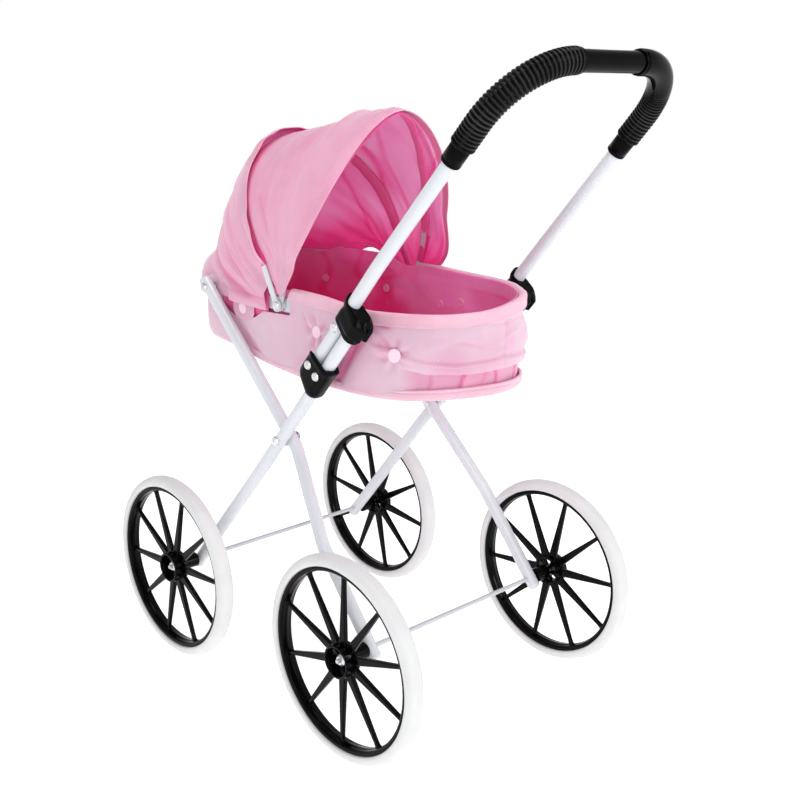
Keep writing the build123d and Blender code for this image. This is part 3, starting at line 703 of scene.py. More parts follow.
for tag, side in (("left", 1), ("right", -1)):
    path = fillet_path([on_tube(fg, side), at(S_BAR, BAR_OFF, side * Y_BAR), at(S_BAR, BAR_OFF, side * BAR_END[side])], (70,), 0.4)
    d = np.concatenate([[0], np.cumsum(np.linalg.norm(np.diff(path, axis=0), axis=1))])
    total = d[-1]
    PITCH = 4.0
    ph = (d % PITCH) / PITCH
    # rounded rib with a narrower valley
    rib = np.sin(pi * ph) ** 0.8
    seg = 40
    T, N, B = frames(path)
    ang = np.linspace(0, 2 * pi, seg, endpoint=False)
    amp = np.full((len(path), seg), 1.35)
    if side < 0:
        # on the right the ribs run out below the bend
        amp = amp * (1 - 0.97 * smooth((d / total - 0.35) / 0.16))[:, None]
    ends = smooth(d / 5.0) * smooth((total - d) / 7.0)
    R = 12.1 - amp * (1 - rib)[:, None] * ends[:, None]
    R = np.where(d[:, None] < 1.2, R - 0.8 * (1 - d[:, None] / 1.2), R)
    R = np.where((total - d)[:, None] < 1.2, R - 0.8 * (1 - (total - d)[:, None] / 1.2), R)
    P = tube(path, R, seg)
    inner0 = path[0] + (P[0] - path[0]) * (7.2 / np.linalg.norm(P[0] - path[0], axis=1))[:, None]
    inner1 = path[-1] + (P[-1] - path[-1]) * (7.2 / np.linalg.norm(P[-1] - path[-1], axis=1))[:, None]
    P = np.concatenate([inner0[None], P, inner1[None]])
    g = grid(f"ribbed_grip_{tag}", P, [M_GRIP], wv=True)
    # painted highlight: the rib crests are marked lighter, for the light lines along each rib
    crest = 0.75 * smooth((rib - 0.72) / 0.26)[:, None] * (amp / 1.35) * ends[:, None]
    crest = crest * (0.75 + 0.25 * Waves(81)(np.repeat(d[:, None] / 9.0, seg, 1), np.repeat(2 * np.sin(ang)[None, :], len(d), 0)))
    painted_light(g, np.concatenate([crest[:1] * 0, crest, crest[:1] * 0]))
    fix_normals(g)
    ride(g, "handle", "black_plastic", f"grip_{tag}")
    # collar: a smooth sleeve with rolled ends
    a, e = on_tube(fc, side), on_tube(fg, side)
    ax = (e - a) / np.linalg.norm(e - a)
    L = np.linalg.norm(e - a) - 0.4
    prof = [(7.2, 0.0), (9.2, 0.0), (9.75, 0.35), (9.9, 1.1), (9.9, 2.6), (9.55, 3.1), (9.55, 3.6), (9.9, 4.1), (9.9, L - 0.8),
            (9.6, L - 0.2), (9.2, L), (7.2, L)]
    b = Build()
    b.add(*lathe(prof, tuple(a), tuple(ax), 48))
    c = b.make(f"grip_collar_{tag}", [M_GRIP], 40)
    fix_normals(c)
    ride(c, "handle", "black_plastic", f"collar_{tag}")

Lb = (BAR_END[1] + BAR_END[-1]) / 2 - 0.2
mid_y = (BAR_END[1] - BAR_END[-1]) / 2
prof = [(7.2, -Lb), (9.6, -Lb), (10.0, -Lb + 0.6)]
prof += [(10.0 - 0.22 * (1 - (h / Lb) ** 2), h) for h in np.linspace(-Lb + 3, Lb - 3, 12)]
prof += [(10.0, Lb - 0.6), (9.6, Lb), (7.2, Lb)]
b = Build()
o = at(S_BAR, BAR_OFF, mid_y)
b.add(*lathe(prof, tuple(o), (0, 1, 0), 48))
for s in (1, -1):
    # step between the bar and each grip
    b.add(*lathe([(9.9, 0.0), (11.2, 0.0), (11.6, 0.4), (11.6, 1.6), (11.2, 2.0), (9.9, 2.0)], (o[0], s * (BAR_END[s] - 2.6), o[2]),
                 (0, s, 0), 48, closed=True))
c = b.make("handle_middle_bar", [M_GRIP], 40)
fix_normals(c)
ride(c, "handle", "black_plastic", "grip_bar")

# -------------------------------------------------------- brackets and locks
def oblong(a, b, r, k=60, rb=None):
    """Points (off, y) round two tube centres at a and b, with equal numbers on each half."""
    h = k // 2
    rb = r if rb is None else rb
    rear = [(a + r * cos(t), r * sin(t)) for t in np.linspace(pi / 2, 3 * pi / 2, h)]
    front = [(b + rb * cos(t), rb * sin(t)) for t in np.linspace(-pi / 2, pi / 2, h)]
    return np.array(rear + front)


def sleeve_mesh(name, outer, inner, side, mat, smooth_angle=40):
    """Closed shell from rings of (s, off, y): an outer skin, and an inner one the other way."""
    rings = list(outer) + list(inner)[::-1]
    k = len(rings[0])
    v = []
    for ring in rings:
        for s_, o_, y_ in ring:
            v.append(V(*at(s_, o_, side * (Y_B + y_))))
    f = []
    for i in range(len(rings)):
        i2 = (i + 1) % len(rings)
        for j in range(k):
            j2 = (j + 1) % k
            f.append((i * k + j, i * k + j2, i2 * k + j2, i2 * k + j))
    bd = Build()
    bd.add([tuple(p) for p in v], f)
    ob = bd.make(name, [mat], smooth_angle)
    fix_normals(ob)
    return ob


def cut(ob, outline, half, side, angle):
    """Take a prism out of a mesh: outline is a ring of (off, s), half its width along y."""
    k = len(outline)
    v = [tuple(V(*at(s_, o_, side * Y_B + w))) for w in (-half, half) for o_, s_ in outline]
    f = [tuple(range(k)), tuple(range(2 * k - 1, k - 1, -1))] + [(j, j + k, (j + 1) % k + k, (j + 1) % k) for j in range(k)]
    me = bpy.data.meshes.new("slot")
    me.from_pydata(v, [], f)
    bm = bmesh.new()
    bm.from_mesh(me)
    bmesh.ops.recalc_face_normals(bm, faces=bm.faces)
    bm.to_mesh(me)
    bm.free()
    tool = bpy.data.objects.new("slot", me)
    bpy.context.scene.collection.objects.link(tool)
    md = ob.modifiers.new("slot", "BOOLEAN")
    md.operation, md.solver, md.object = "DIFFERENCE", "EXACT", tool
    new = bpy.data.meshes.new_from_object(ob.evaluated_get(bpy.context.evaluated_depsgraph_get()))
    ob.modifiers.remove(md)
    ob.data = new
    bpy.data.objects.remove(tool)
    new.set_sharp_from_angle(angle=radians(angle))


LOCK_LOW, LOCK_TOP = 420.4, 451.0

for tag, side in (("left", 1), ("right", -1)):
    # sliding lock: a sleeve round both tubes, slim at the front, with a swollen two-lipped back and a horn at its front top
    outer = []
    for s_ in np.concatenate([LOCK_LOW + np.array([0.0, 0.25, 0.7, 1.3]), np.arange(LOCK_LOW + 1.8, LOCK_TOP - 2.2, 0.45),
                              LOCK_TOP - np.array([1.9, 1.3, 0.8, 0.4, 0.15, 0.0])]):
        up_ = smooth((s_ - 427.0) / 3.4)
        dome = smooth((s_ - 443.5) / 7.6)
        lo_ = smooth((LOCK_LOW + 1.6 - s_) / 1.6)
        hi_ = smooth((s_ - LOCK_TOP + 2.0) / 2.0)
        c_r = -1.4 - 3.0 * up_ + 3.2 * dome
        r_r = 10.9 + 1.7 * up_ - 3.0 * dome - 1.6 * lo_ - 1.5 * hi_
        r_f = 8.6 - 0.7 * bell(s_ - 441.5, 5.0) - 0.9 * lo_ - 0.7 * hi_
        q = oblong(c_r, 15.5, r_r, 120, r_f)
        # two rounded lips on the back with a slot between them
        back = smooth((c_r - 2.0 - q[:, 0]) / 4.0) * up_ * (1 - dome)
        q[:, 0] += back * (4.6 * bell(q[:, 1], 2.0) - 1.5 * bell(np.abs(q[:, 1]) - 5.0, 2.3))
        # cheeks: a long facet, a hollow between the tubes and a step below the swelling
        cheek = smooth((np.abs(q[:, 1]) - 6.0) / 2.0)
        q[:, 1] -= np.sign(q[:, 1]) * cheek * (1.2 * bell(q[:, 0] - 8.6, 2.6) + 0.5 * bell(q[:, 0] - 1.0, 1.2))
        # horn
        tip = 4.6 * smooth((s_ - 444.5) / 6.0) * smooth((q[:, 0] - 17.5) / 4.0)
        q[:, 0] += 1.9 * smooth((s_ - 443.0) / 4.0) * smooth((q[:, 0] - 17.0) / 5.0)
        slant = 0.13 * (q[:, 0] + 4.0) * smooth((432.0 - s_) / 11.0)
        outer.append([(s_ + t_ + sl_, o_, y_) for (o_, y_), t_, sl_ in zip(q, tip, slant)])
    inner = []
    for s_, a_ in ((LOCK_LOW + 0.2, 0.0), (LOCK_TOP - 1.7, 0.0), (LOCK_TOP - 1.5, 15.4), (LOCK_TOP - 0.2, 15.4)):
        q = oblong(a_, 15.5, 7.15, 120)
        tip = (4.0 if s_ > LOCK_TOP - 1 else 0.0) * smooth((q[:, 0] - 17.5) / 4.0)
        slant = 0.13 * (q[:, 0] + 4.0) * smooth((432.0 - s_) / 11.0)
        inner.append([(s_ + t_ + sl_, o_, y_) for (o_, y_), t_, sl_ in zip(q, tip, slant)])
    lk = sleeve_mesh(f"slide_lock_{tag}", outer, inner, side, M_BLACK, 50)
    ride(lk, f"{tag}_lock", "black_plastic", f"lock_{tag}")
    # pivot bracket: a closed shoe with a flat top that both tubes enter from above
    outer = []
    q0 = oblong(-0.4, 15.5, 10.7, 96)
    # nearly flat cheeks with tight corners
    q0[:, 1] = np.sign(q0[:, 1]) * 10.7 * (np.abs(q0[:, 1]) / 10.7) ** 0.72
    mouth = 372.0 + 2.4 * smooth((-5.5 - q0[:, 0]) / 5.0) - 1.2 * smooth((q0[:, 0] - 20.0) / 5.0)
    floor_ = 329.4 + 8.4 * smooth((q0[:, 0] - 2.0) / 23.0)
    for d_, k_ in ((0.0, 0.66), (0.5, 0.77), (1.4, 0.87), (2.8, 0.94), (4.8, 0.985), (7.0, 1.0)):
        outer.append([(f0 + d_, 7.5 + (o_ - 7.5) * k_, y_ * k_) for (o_, y_), f0 in zip(q0, floor_)])
    for f_ in np.concatenate([np.linspace(0.08, 0.93, 16), [0.96, 0.985, 1.0]]):
        ring = []
        for (o_, y_), top, f0 in zip(q0, mouth, floor_):
            s_ = f0 + 7.0 + (top - f0 - 7.0) * f_
            # raised lip round the mouths, and a long flute down the back corner
            grow = 0.45 * smooth((f_ - 0.82) / 0.04) - 1.1 * smooth((f_ - 0.955) / 0.045)
            flute = 0.8 * bell(o_ + 6.6, 1.6) * smooth((0.8 - f_) / 0.1)
            ring.append((s_, o_ + grow * (o_ - 7.5) / 18.0, y_ * (1 + (grow - flute) / 10.7)))
        outer.append(ring)
    inner = []
    for f_ in (0.0, 0.4, 1.0):
        ring = []
        for (o_, y_), top in zip(oblong(0.0, 15.5 * smooth((f_ + 0.02) / 0.3), 7.3, 96), mouth):
            ring.append((334.2 + (top - 0.5 - 334.2) * f_, o_, y_))
        inner.append(ring)
    br = sleeve_mesh(f"pivot_bracket_{tag}", outer, inner, side, M_BLACK, 44)
    # open front between the cheeks, so that the handle can swing down over the hood
    cut(br, [(11.5, 351.9), (34.0, 337.0), (34.0, 382.0), (11.5, 382.0)], 7.4, side, 44)
    ride(br, "outer_legs", "black_plastic", f"handle_bracket_{tag}")

# ------------------------------------------------------------------- the body
F_X, R_X, EA, EB = 112.0, -84.0, 128.0, 97.4
STRAIGHT = F_X - R_X


def ellipse_table(n=4000):
    t = np.linspace(0, pi, n)
    x, y = -EA * np.sin(t), EB * np.cos(t)      # from (0, +b) round the rear to (0, -b)
    s = np.concatenate([[0], np.cumsum(np.hypot(np.diff(x), np.diff(y)))])
    return t, s


_T, _S = ellipse_table()
E_LEN = _S[-1]
PERIM = 2 * STRAIGHT + 2 * E_LEN
REAR = STRAIGHT + E_LEN / 2
FRONT = 2 * STRAIGHT + 1.5 * E_LEN


def plan(s):
    """Point and outward normal of the body's outline; s runs from (112, +97.4) rearwards and all round."""
    s = np.asarray(s, float) % PERIM
    x, y, nx, ny = (np.zeros_like(s) for _ in range(4))
    k = s < STRAIGHT
    x[k], y[k], ny[k] = F_X - s[k], EB, 1.0
    k = (s >= STRAIGHT) & (s < STRAIGHT + E_LEN)
    t = np.interp(s[k] - STRAIGHT, _S, _T)
    x[k], y[k] = R_X - EA * np.sin(t), EB * np.cos(t)
    gx, gy = -np.sin(t) / EA, np.cos(t) / EB
    g = np.hypot(gx, gy)
    nx[k], ny[k] = gx / g, gy / g
    k = (s >= STRAIGHT + E_LEN) & (s < 2 * STRAIGHT + E_LEN)
    x[k], y[k], ny[k] = R_X + (s[k] - STRAIGHT - E_LEN), -EB, -1.0
    k = s >= 2 * STRAIGHT + E_LEN
    t = np.interp(s[k] - 2 * STRAIGHT - E_LEN, _S, _T)
    x[k], y[k] = F_X + EA * np.sin(t), -EB * np.cos(t)
    gx, gy = np.sin(t) / EA, -np.cos(t) / EB
    g = np.hypot(gx, gy)
    nx[k], ny[k] = gx / g, gy / g
    return np.stack([x, y], -1), np.stack([nx, ny], -1)


def mirror_s(s):
    return 2 * STRAIGHT + E_LEN - s


def near_s(s):
    """Position along the left half: from the front middle (-) through 0 to the rear middle."""
    s = np.asarray(s, float) % PERIM
    s = np.where(s > FRONT, s - PERIM, s)
    return np.where(s > REAR, mirror_s(s), s)


BOT_X = np.array([-230, -207, -176, -150, -104, -54, -3, 40, 74, 100, 132, 196, 250], float)
BOT_Z = np.array([371.5, 370, 367, 364, 363, 361.6, 363, 366, 370.5, 376, 379.5, 378.5, 377.5])


def bottom_z(x):
    xx = np.linspace(-240, 260, 501)
    zz = np.interp(xx, BOT_X, BOT_Z)
    k = np.hanning(41)
    zz = np.convolve(np.pad(zz, 20, mode="edge"), k / k.sum(), mode="valid")
    return np.interp(x, xx, zz)


def rim_z(s):
    """Top of the hem: lower on the left side, higher on the right."""
    p, n = plan(s)
    sag = 5.0 * smooth((-40 - p[..., 0]) / 90) * smooth((p[..., 1] + 50) / 80)
    return 461.6 - 4.2 * p[..., 1] / 97.4 - sag + 0.7 * np.sin(np.asarray(s) / 47.0) + 0.45 * np.sin(np.asarray(s) / 19.0 + 1.0)


NOTCH_S = np.array([-400, -33, -29, -21, -8, 4, 26, 42, 57.4, 84, 104.6, 107.0, 900], float)
NOTCH_Z = np.array([450, 450, 446, 426.0, 417.5, 412.8, 413.5, 417.5, 426.7, 428.0, 428.8, 450, 450])


def skirt_top(s):
    return np.interp(near_s(s), NOTCH_S, NOTCH_Z)


BAND_D = np.array([0, 29, 55, 85, 105, 113, 140, 400], float)       # distance from the rear middle
BAND_T = np.array([408, 406, 404, 406, 410, 413, 420, 420], float)
BAND_L = np.array([397, 396, 395, 395, 399, 403, 412, 412], float)
w_body, w_body2, w_fine = Waves(11), Waves(12), Waves(13)
STUDS = [(-36.0, 418.0, None), (-145.0, 411.0, None)]
S_STUD1 = F_X + 36.0
S_STUD2 = STRAIGHT + float(np.interp(np.arccos(85.6 / 97.4), _T, _S))


def leg_fold(ns, z):
    """Along and across the fold that lies beside the legs where they cross the skirt."""
    return ((ns - 182) * 48 + (z - 372) * 68) / 83.2, ((ns - 182) * 68 - (z - 372) * 48) / 83.2


def skirt_offset(s, z, painted_shade=False):
    """How far the outer cloth stands out from the outline; when asked, also the painted shade its folds take."""
    ns = near_s(s)
    p, n = plan(s)
    x = p[..., 0]
    zb = bottom_z(x)
    h = np.clip((z - zb) / (450 - zb), 0, 1)
    by_leg = smooth((x + 60) / 40) * smooth((175 - x) / 30)          # keep clear of the leg that passes close by
    d = 1.6 * np.sin(pi * h) * (1 - 0.8 * by_leg)
    calm = (0.25 + 0.75 * np.sin(pi * np.clip(h, 0.02, 0.98))) * (1 - 0.75 * by_leg)
    d = d + (1.5 * w_body(ns / 21.0 + 3 * (s > REAR), z / 60.0) + 0.6 * w_body2(ns / 9.0, z / 24.0 + 5 * (s > REAR))) * calm
    # sharp-edged rumples
    rum = 1 - np.abs(w_fine(ns / 17.0 + 2 * (s > REAR), z / 15.0 + 1.0))
    cr = 1.5 * (rum - 0.35) * calm
    # soft diagonal fold running down from the hood tab
    along = (ns - 13.0) * 0.73 + (404 - z) * 0.69
    across = (ns - 13.0) * 0.69 - (404 - z) * 0.73
    cr = cr - 2.6 * bell(across, 6.5) * smooth((along + 25) / 20) * smooth((88 - along) / 30)
    cr = cr + 0.7 * bell(across + 13, 8.0) * smooth((along + 25) / 20) * smooth((88 - along) / 30)
    # dimples and puckers round the studs
    for s0, z0, k, ph in ((S_STUD1, 418.0, 5, 0.4), (S_STUD2, 411.0, 6, 1.2)):
        ds, dz = ns - s0, z - z0
        rho = np.hypot(ds, dz)
        th = np.arctan2(dz, ds)
        d = d - 1.5 * bell(rho, 8.5)
        cr = cr + 1.5 * np.cos(k * th + ph) * bell(rho - 12, 7.0)
        cr = cr - 1.4 * bell(ds + dz * 0.55 + 12, 2.2) * bell(dz - 9, 9.0)
    # drag lines between the lock and the rear stud
    for k, (a0, b0) in enumerate(((-26, 21), (-16, 18), (-34, 12), (-8, 9), (-44, 20))):
        ds, dz = ns - (S_STUD2 + a0), z - (411 + b0)
        u, v = ds * 0.8 - dz * 0.6, ds * 0.6 + dz * 0.8
        cr = cr + (1.3, -1.5, 1.2, -1.2, -1.0)[k] * bell(v, 2.6) * bell(u, 17)
    # the cloth is drawn in beside the legs
    u, v = leg_fold(ns, z)
    fold = bell(v + 2, 9.0) * smooth((u + 14) / 14) * smooth((94 - u) / 16)
    d = d - 3.6 * fold
    for k, v0 in enumerate((-6.0, 1.5, 9.0)):
        cr = cr + (0.9, -1.1, 0.9)[k] * bell(v - v0 - 1.5 * np.sin(u / 13.0 + k), 2.2) * smooth((u + 6) / 14) * smooth((84 - u) / 16)
    # a shallow dent under the hem behind the lock, which painted shade darkens into a slit
    slit = bell(z - (441.6 - 0.15 * (ns - 231)), 2.4) * smooth((ns - 224) / 6) * smooth((260 - ns) / 16)
    d = d - 1.0 * slit
    # rear: a hemmed flap over a set-back pleated gusset
    dist = np.abs(ns - REAR)
    zt = np.interp(dist, BAND_D, BAND_T)
    zl = np.interp(dist, BAND_D, BAND_L)
    on = smooth((113 - dist) / 22)
    welt = smooth((148 - dist) / 14)
    under = smooth((zl - z) / 1.6) * on
    band = smooth((z - zl + 0.6) / 1.0) * smooth((zt - z) / 1.6) * welt
    d = d + 1.5 * band - 5.2 * under
    d = d - 1.1 * bell(z - zt - 0.8, 1.3) * welt + 0.35 * bell(z - (zl + zt) / 2, 4.0) * welt
    sd = np.where(s > REAR, dist, -dist)
    tucks = 0.0
    for c0, lean, a_ in ((-47, 0.18, 1.0), (-7, -0.1, 0.9), (-81, 0.3, 0.5), (31, 0.12, 0.7), (68, -0.2, 0.6), (-26, 0.4, 0.35)):
        q_ = sd - c0 - lean * (z - 382) - 1.5 * np.sin(z / 5.0 + c0)
        tucks = tucks + a_ * bell(q_, 1.7)
        d = d + under * a_ * (2.2 * smooth((q_ + 1.5) / 3.0) * smooth((22 - q_) / 21.0) - 1.0 * bell(q_, 1.8))
    # shallow folds across the flap
    for k, (c0, z0, a_, l_) in enumerate(((-58, 428, 0.35, 30), (-24, 421, -0.22, 34), (14, 430, 0.30, 26), (46, 420, -0.4, 28), (76, 431, 0.5, 22))):
        ds, dz = np.where(s > REAR, dist, -dist) - c0, z - z0
        v2 = dz - a_ * ds
        cr = cr + (1.1, -1.3, 1.0, 1.2, -1.2)[k] * bell(v2, 2.6) * bell(ds, l_) * (dist < 125)
    # horizontal puckers under the hem and a rumple at the rear right corner
    cr = cr - 1.1 * bell(z - (443.0 + 1.5 * np.sin(ns / 23.0)), 1.7) * smooth((ns - 190) / 60) * (0.55 + 0.45 * np.sin(ns / 8.3 + np.sin(ns / 3.7)))
    d = d + np.where(s > REAR, 3.8 * bell(ns - (REAR - 62), 17) * bell(z - 424 - 0.06 * (ns - REAR), 11), 0.0)
    d = d - np.where(s > REAR, 2.0 * bell(ns - (REAR - 62), 20) * bell(z - 441, 4.0), 0.0)
    # flat under the hood's tabs
    flat = smooth((x - 54) / 10) * smooth((124 - x) / 10) * smooth((436 - z) / 8) * smooth((z - 394) / 10)
    d, cr = d - 0.9 * flat, cr * (1 - 0.6 * flat)
    # the lower edge turns in under the body
    d = d - 5.0 * smooth((zb + 7.0 - z) / 7.0) ** 1.5
    if painted_shade:
        # painted shade: deeper pink in the fold beside the legs where the tubes shade it, in the slit, under the flap
        # and its tucks, along the groove at the band's top and in crease valleys
        shade = 0.66 * fold + 0.95 * slit + under * (0.34 + 0.5 * np.clip(tucks, 0, 1)) + 0.2 * bell(z - zt - 1.2, 1.6) * welt
        shade = shade + 0.28 * smooth(-cr / 1.9) * (1 - under)
        return d + cr, shade
    return d + cr


def columns(step, forced):
    """Positions round the outline, evenly spaced with some set places kept."""
    base = np.arange(0, PERIM, step)
    f = np.unique(np.round(np.array(forced) % PERIM, 3))
    near = np.min(np.abs(base[:, None] - f[None, :]), axis=1)
    return np.sort(np.concatenate([base[near > 0.45 * step], f]))


marks = [-33, -29, -25, -21, -8, 4, 26, 42, 57.4, 84, 104.6, 105.8, 107.0]
cols = columns(2.3, marks + [mirror_s(m) for m in marks])
rows = 52
xy, nn = plan(cols)
z0 = skirt_top(cols)
zb = bottom_z(xy[:, 0])
tt = np.linspace(0, 1, rows)
Z = z0[:, None] + (zb - z0)[:, None] * tt[None, :]
S2 = np.repeat(cols[:, None], rows, 1)
D, shade = skirt_offset(S2, Z, True)
D = D * smooth((z0[:, None] - Z + 6) / 10)           # lies flat under the hem
P = np.stack([xy[:, None, 0] + nn[:, None, 0] * D, xy[:, None, 1] + nn[:, None, 1] * D, Z], -1)


skirt = grid("basket_skirt_cloth", P, [M_SKIRT, M_DEEP], wu=True, flip=True)
painted_light(skirt, shade)
subsurf(skirt, 1)
thicken(skirt, 0.9, -1.0, 1, 0)
ride(skirt, "basket", "pink_fabric", "basket_skirt")
SKIRT = (cols, Z, P)

# lower hem lip and piping
cc = np.arange(0, PERIM, 2.6)
xy, nn = plan(cc)
zb = bottom_z(xy[:, 0])
prof = [(-1.2, 9.5), (0.2, 9.0), (0.9, 6.5), (0.8, 3.2), (-0.2, 0.8), (-2.2, -0.6), (-4.6, -0.8), (-6.6, -0.2), (-7.0, 1.0), (-5.0, 1.6),
        (-2.6, 3.0), (-1.8, 6.0)]
wob = 0.5 * np.sin(cc / 13.0) + 0.35 * np.sin(cc / 5.7 + 1.0)
P = np.stack([np.stack([xy[:, 0] + nn[:, 0] * (d - 0.8 + 0.35 * wob), xy[:, 1] + nn[:, 1] * (d - 0.8 + 0.35 * wob), zb + h + 0.3 * wob], -1)
              for d, h in prof], 1)
lip = grid("basket_lower_hem", P, [M_HEM], wu=True, wv=True, flip=False)
fix_normals(lip)
subsurf(lip, 1)
ride(lip, "basket", "pink_fabric")
sel = np.arange(REAR - 118, REAR + 118, 2.0)
xy, nn = plan(sel)
zp = bottom_z(xy[:, 0]) + 9.6
path = np.stack([xy[:, 0] + nn[:, 0] * (-1.2), xy[:, 1] + nn[:, 1] * (-1.2), zp + 0.4 * np.sin(sel / 17.0)], -1)
b = Build()
add_tube(b, path, 1.75 + 0.12 * np.sin(sel * 2.2), 12)
pipe = b.make("basket_piping", [M_HEM], None)
fix_normals(pipe)
ride(pipe, "basket", "pink_fabric")

# stitching along the top of the flap's band
sel = np.arange(REAR - 140, REAR + 140, 1.6)
zs_ = np.interp(np.abs(sel - REAR), BAND_D, BAND_T) - 2.4
off_ = skirt_offset(sel, zs_)
xy, nn = plan(sel)
flap_st = stitches("flap_band_stitches", np.stack([xy[:, 0] + nn[:, 0] * off_, xy[:, 1] + nn[:, 1] * off_, zs_], -1),
                   np.column_stack([nn, np.zeros(len(nn))]), M_THREAD, "basket", pitch=4.0, length=2.7, r=0.34)
ride(flap_st, "basket", "pink_fabric")

# outer bottom panel
ring = np.arange(0, PERIM, 6.0)
xy, nn = plan(ring)
rowsP = []
w_bot = Waves(21)
for f in np.linspace(0.0, 1.0, 22):
    q = xy - nn * 3.0
    cx = np.clip(q[:, 0], R_X, F_X)
    g = np.stack([cx + (q[:, 0] - cx) * (1 - f), q[:, 1] * (1 - f)], -1)
    zz = bottom_z(g[:, 0]) + 0.9 - 1.2 * f + 0.7 * w_bot(g[:, 0] / 30, g[:, 1] / 30) * smooth(f * 6)
    rowsP.append(np.stack([g[:, 0], g[:, 1], zz], -1))
P = np.stack(rowsP, 1)
bottom = grid("basket_bottom_cloth", P, [M_PINK, M_DEEP], wu=True, flip=False)
thicken(bottom, 0.8, 1.0, 1, 0)
ride(bottom, "basket", "pink_fabric")

# ------------------------------------------------------------------ rim hems
def hem(name, s0, s1, slant):
    ss = np.arange(s0, s1, 2.2)
    prof = [(0.2, -13.2), (1.5, -13.6), (2.0, -12.4), (1.9, -10.6), (2.2, -7.0), (2.1, -3.2), (1.2, -0.9), (-0.8, 0.2), (-3.2, 0.3),
            (-5.4, -0.8), (-6.6, -3.2), (-6.9, -7.0), (-6.8, -11.5), (-6.0, -12.0), (-5.6, -8.0), (-0.6, -4.0)]
    pk = (0.42 * np.sin(ss / 2.9 + 0.8 * np.sin(ss / 9.0)) * (0.5 + 0.5 * np.sin(ss / 31.0)) + 0.45 * np.sin(ss / 6.3 + np.sin(ss / 17.0))
          + 0.5 * np.sin(ss / 24.0 + 2.0))
    ends = np.minimum(smooth((ss - s0) / 5.0), smooth((s1 - ss) / 5.0))
    P = []
    for d, h in prof:
        sl = ss + slant * (h + 6) * (1 - smooth((ss - s0) / 12.0)) - slant * (h + 6) * (1 - smooth((s1 - ss) / 12.0))
        xy, nn = plan(sl)
        dd = d + pk * (0.8 if d > 0 else 0.3) - (1 - ends) * 0.8 * np.sign(d + 2.3)
        P.append(np.stack([xy[:, 0] + nn[:, 0] * dd, xy[:, 1] + nn[:, 1] * dd, rim_z(sl) + h + 0.2 * pk], -1))
    P = np.stack(P, 1)
    ob = grid(name, P, [M_HEM], wv=True)
    bm = bmesh.new()
    bm.from_mesh(ob.data)
    bmesh.ops.holes_fill(bm, edges=[e for e in bm.edges if e.is_boundary], sides=40)
    bmesh.ops.recalc_face_normals(bm, faces=bm.faces)
    bm.to_mesh(ob.data)
    bm.free()
    subsurf(ob, 1)
    ride(ob, "basket", "pink_fabric")
    xy, nn = plan(ss[3:-3])
    line = np.stack([xy[:, 0] + nn[:, 0] * (2.0 + 0.6 * pk[3:-3]), xy[:, 1] + nn[:, 1] * (2.0 + 0.6 * pk[3:-3]), rim_z(ss[3:-3]) - 11.2], -1)
    st = stitches(name + "_stitches", line, np.column_stack([nn, np.zeros(len(nn))]), M_THREAD, "basket")
    ride(st, "basket", "pink_fabric")
    return ob, st


hem_rear, hem_st = hem("basket_rim_hem", 103.0, mirror_s(103.0), 0.55)
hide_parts("basket_hem")
hem_front, hem_fst = hem("basket_front_hem", mirror_s(-26.0), PERIM - 26.0, 0.0)

# ---------------------------------------------------------------- inner liner
w_lin, w_lin2 = Waves(31), Waves(32)
cl = np.arange(0, PERIM, 3.4)
rl = 34
xy, nn = plan(cl)
fl = bottom_z(xy[:, 0]) + 5.0
top = rim_z(cl) - 1.2
in_notch = smooth((near_s(cl) + 30) / 6) * smooth((108 - near_s(cl)) / 4)
top = top - 2.5 * in_notch
top = top + np.where(xy[:, 1] < 0, 8.9, 0.0) * smooth((xy[:, 0] - 26) / 34) * smooth((172 - xy[:, 0]) / 34)
tl = np.linspace(0, 1, rl)
Z = top[:, None] + (fl - top)[:, None] * tl[None, :]
S2 = np.repeat(cl[:, None], rl, 1)
inset = 7.0 + 1.3 * np.sin(pi * tl)[None, :] + 1.7 * w_lin(S2 / 26.0, Z / 34.0) * np.sin(pi * tl)[None, :] + 0.8 * w_lin2(S2 / 9, Z / 15) * np.sin(
    pi * tl)[None, :]
w_l3, w_l4 = Waves(33), Waves(34)
rumple = 1 - np.abs(w_l3(S2 / 24.0, Z / 17.0))
rumple2 = 1 - np.abs(w_l4(S2 / 13.0 + 2.0, Z / 26.0))
inset = inset + (2.0 * (rumple - 0.45) + 1.2 * (rumple2 - 0.45)) * np.sin(pi * np.clip(tl, 0.03, 0.97))[None, :]
for s0 in (STRAIGHT + 20, REAR + 74, mirror_s(REAR - 30), 60.0):
    inset = inset - 0.8 * bell(S2 - s0, 1.6) + 0.7 * bell(S2 - s0 - 4, 3.0)
inset = inset - 0.8 * in_notch[:, None] * (1 - tl)[None, :]
inset = inset + 6.0 * smooth((tl - 0.9) / 0.1)[None, :] ** 2
inset = np.where(Z > top[:, None] - 17, np.maximum(inset, 7.9), inset)      # stays inside the hem's inner fold
P = np.stack([xy[:, None, 0] - nn[:, None, 0] * inset, xy[:, None, 1] - nn[:, None, 1] * inset, Z], -1)
liner = grid("basket_lining_cloth", P, [M_LINER], wu=True, flip=True)
# painted shade: deeper pink lower down, under the hood, where the cloth sits back and along the rumples; paler where it
# bulges inward
under_hood = smooth((xy[:, None, 0] + 5) / 75)
painted_light(liner, 0.42 * smooth((tl - 0.3) / 0.7)[None, :] + 0.55 * under_hood * (0.35 + 0.65 * smooth((tl - 0.05) / 0.4)[None, :])
     + 0.34 * smooth((8.0 - inset) / 2.4) + 0.4 * smooth((rumple - 0.82) / 0.16) * (0.4 + 0.6 * under_hood) - 0.24 * smooth((inset - 9.6) / 2.2))
subsurf(liner, 1)
thicken(liner, 0.8, 1.0)
ride(liner, "basket", "lining_fabric", "basket_liner")

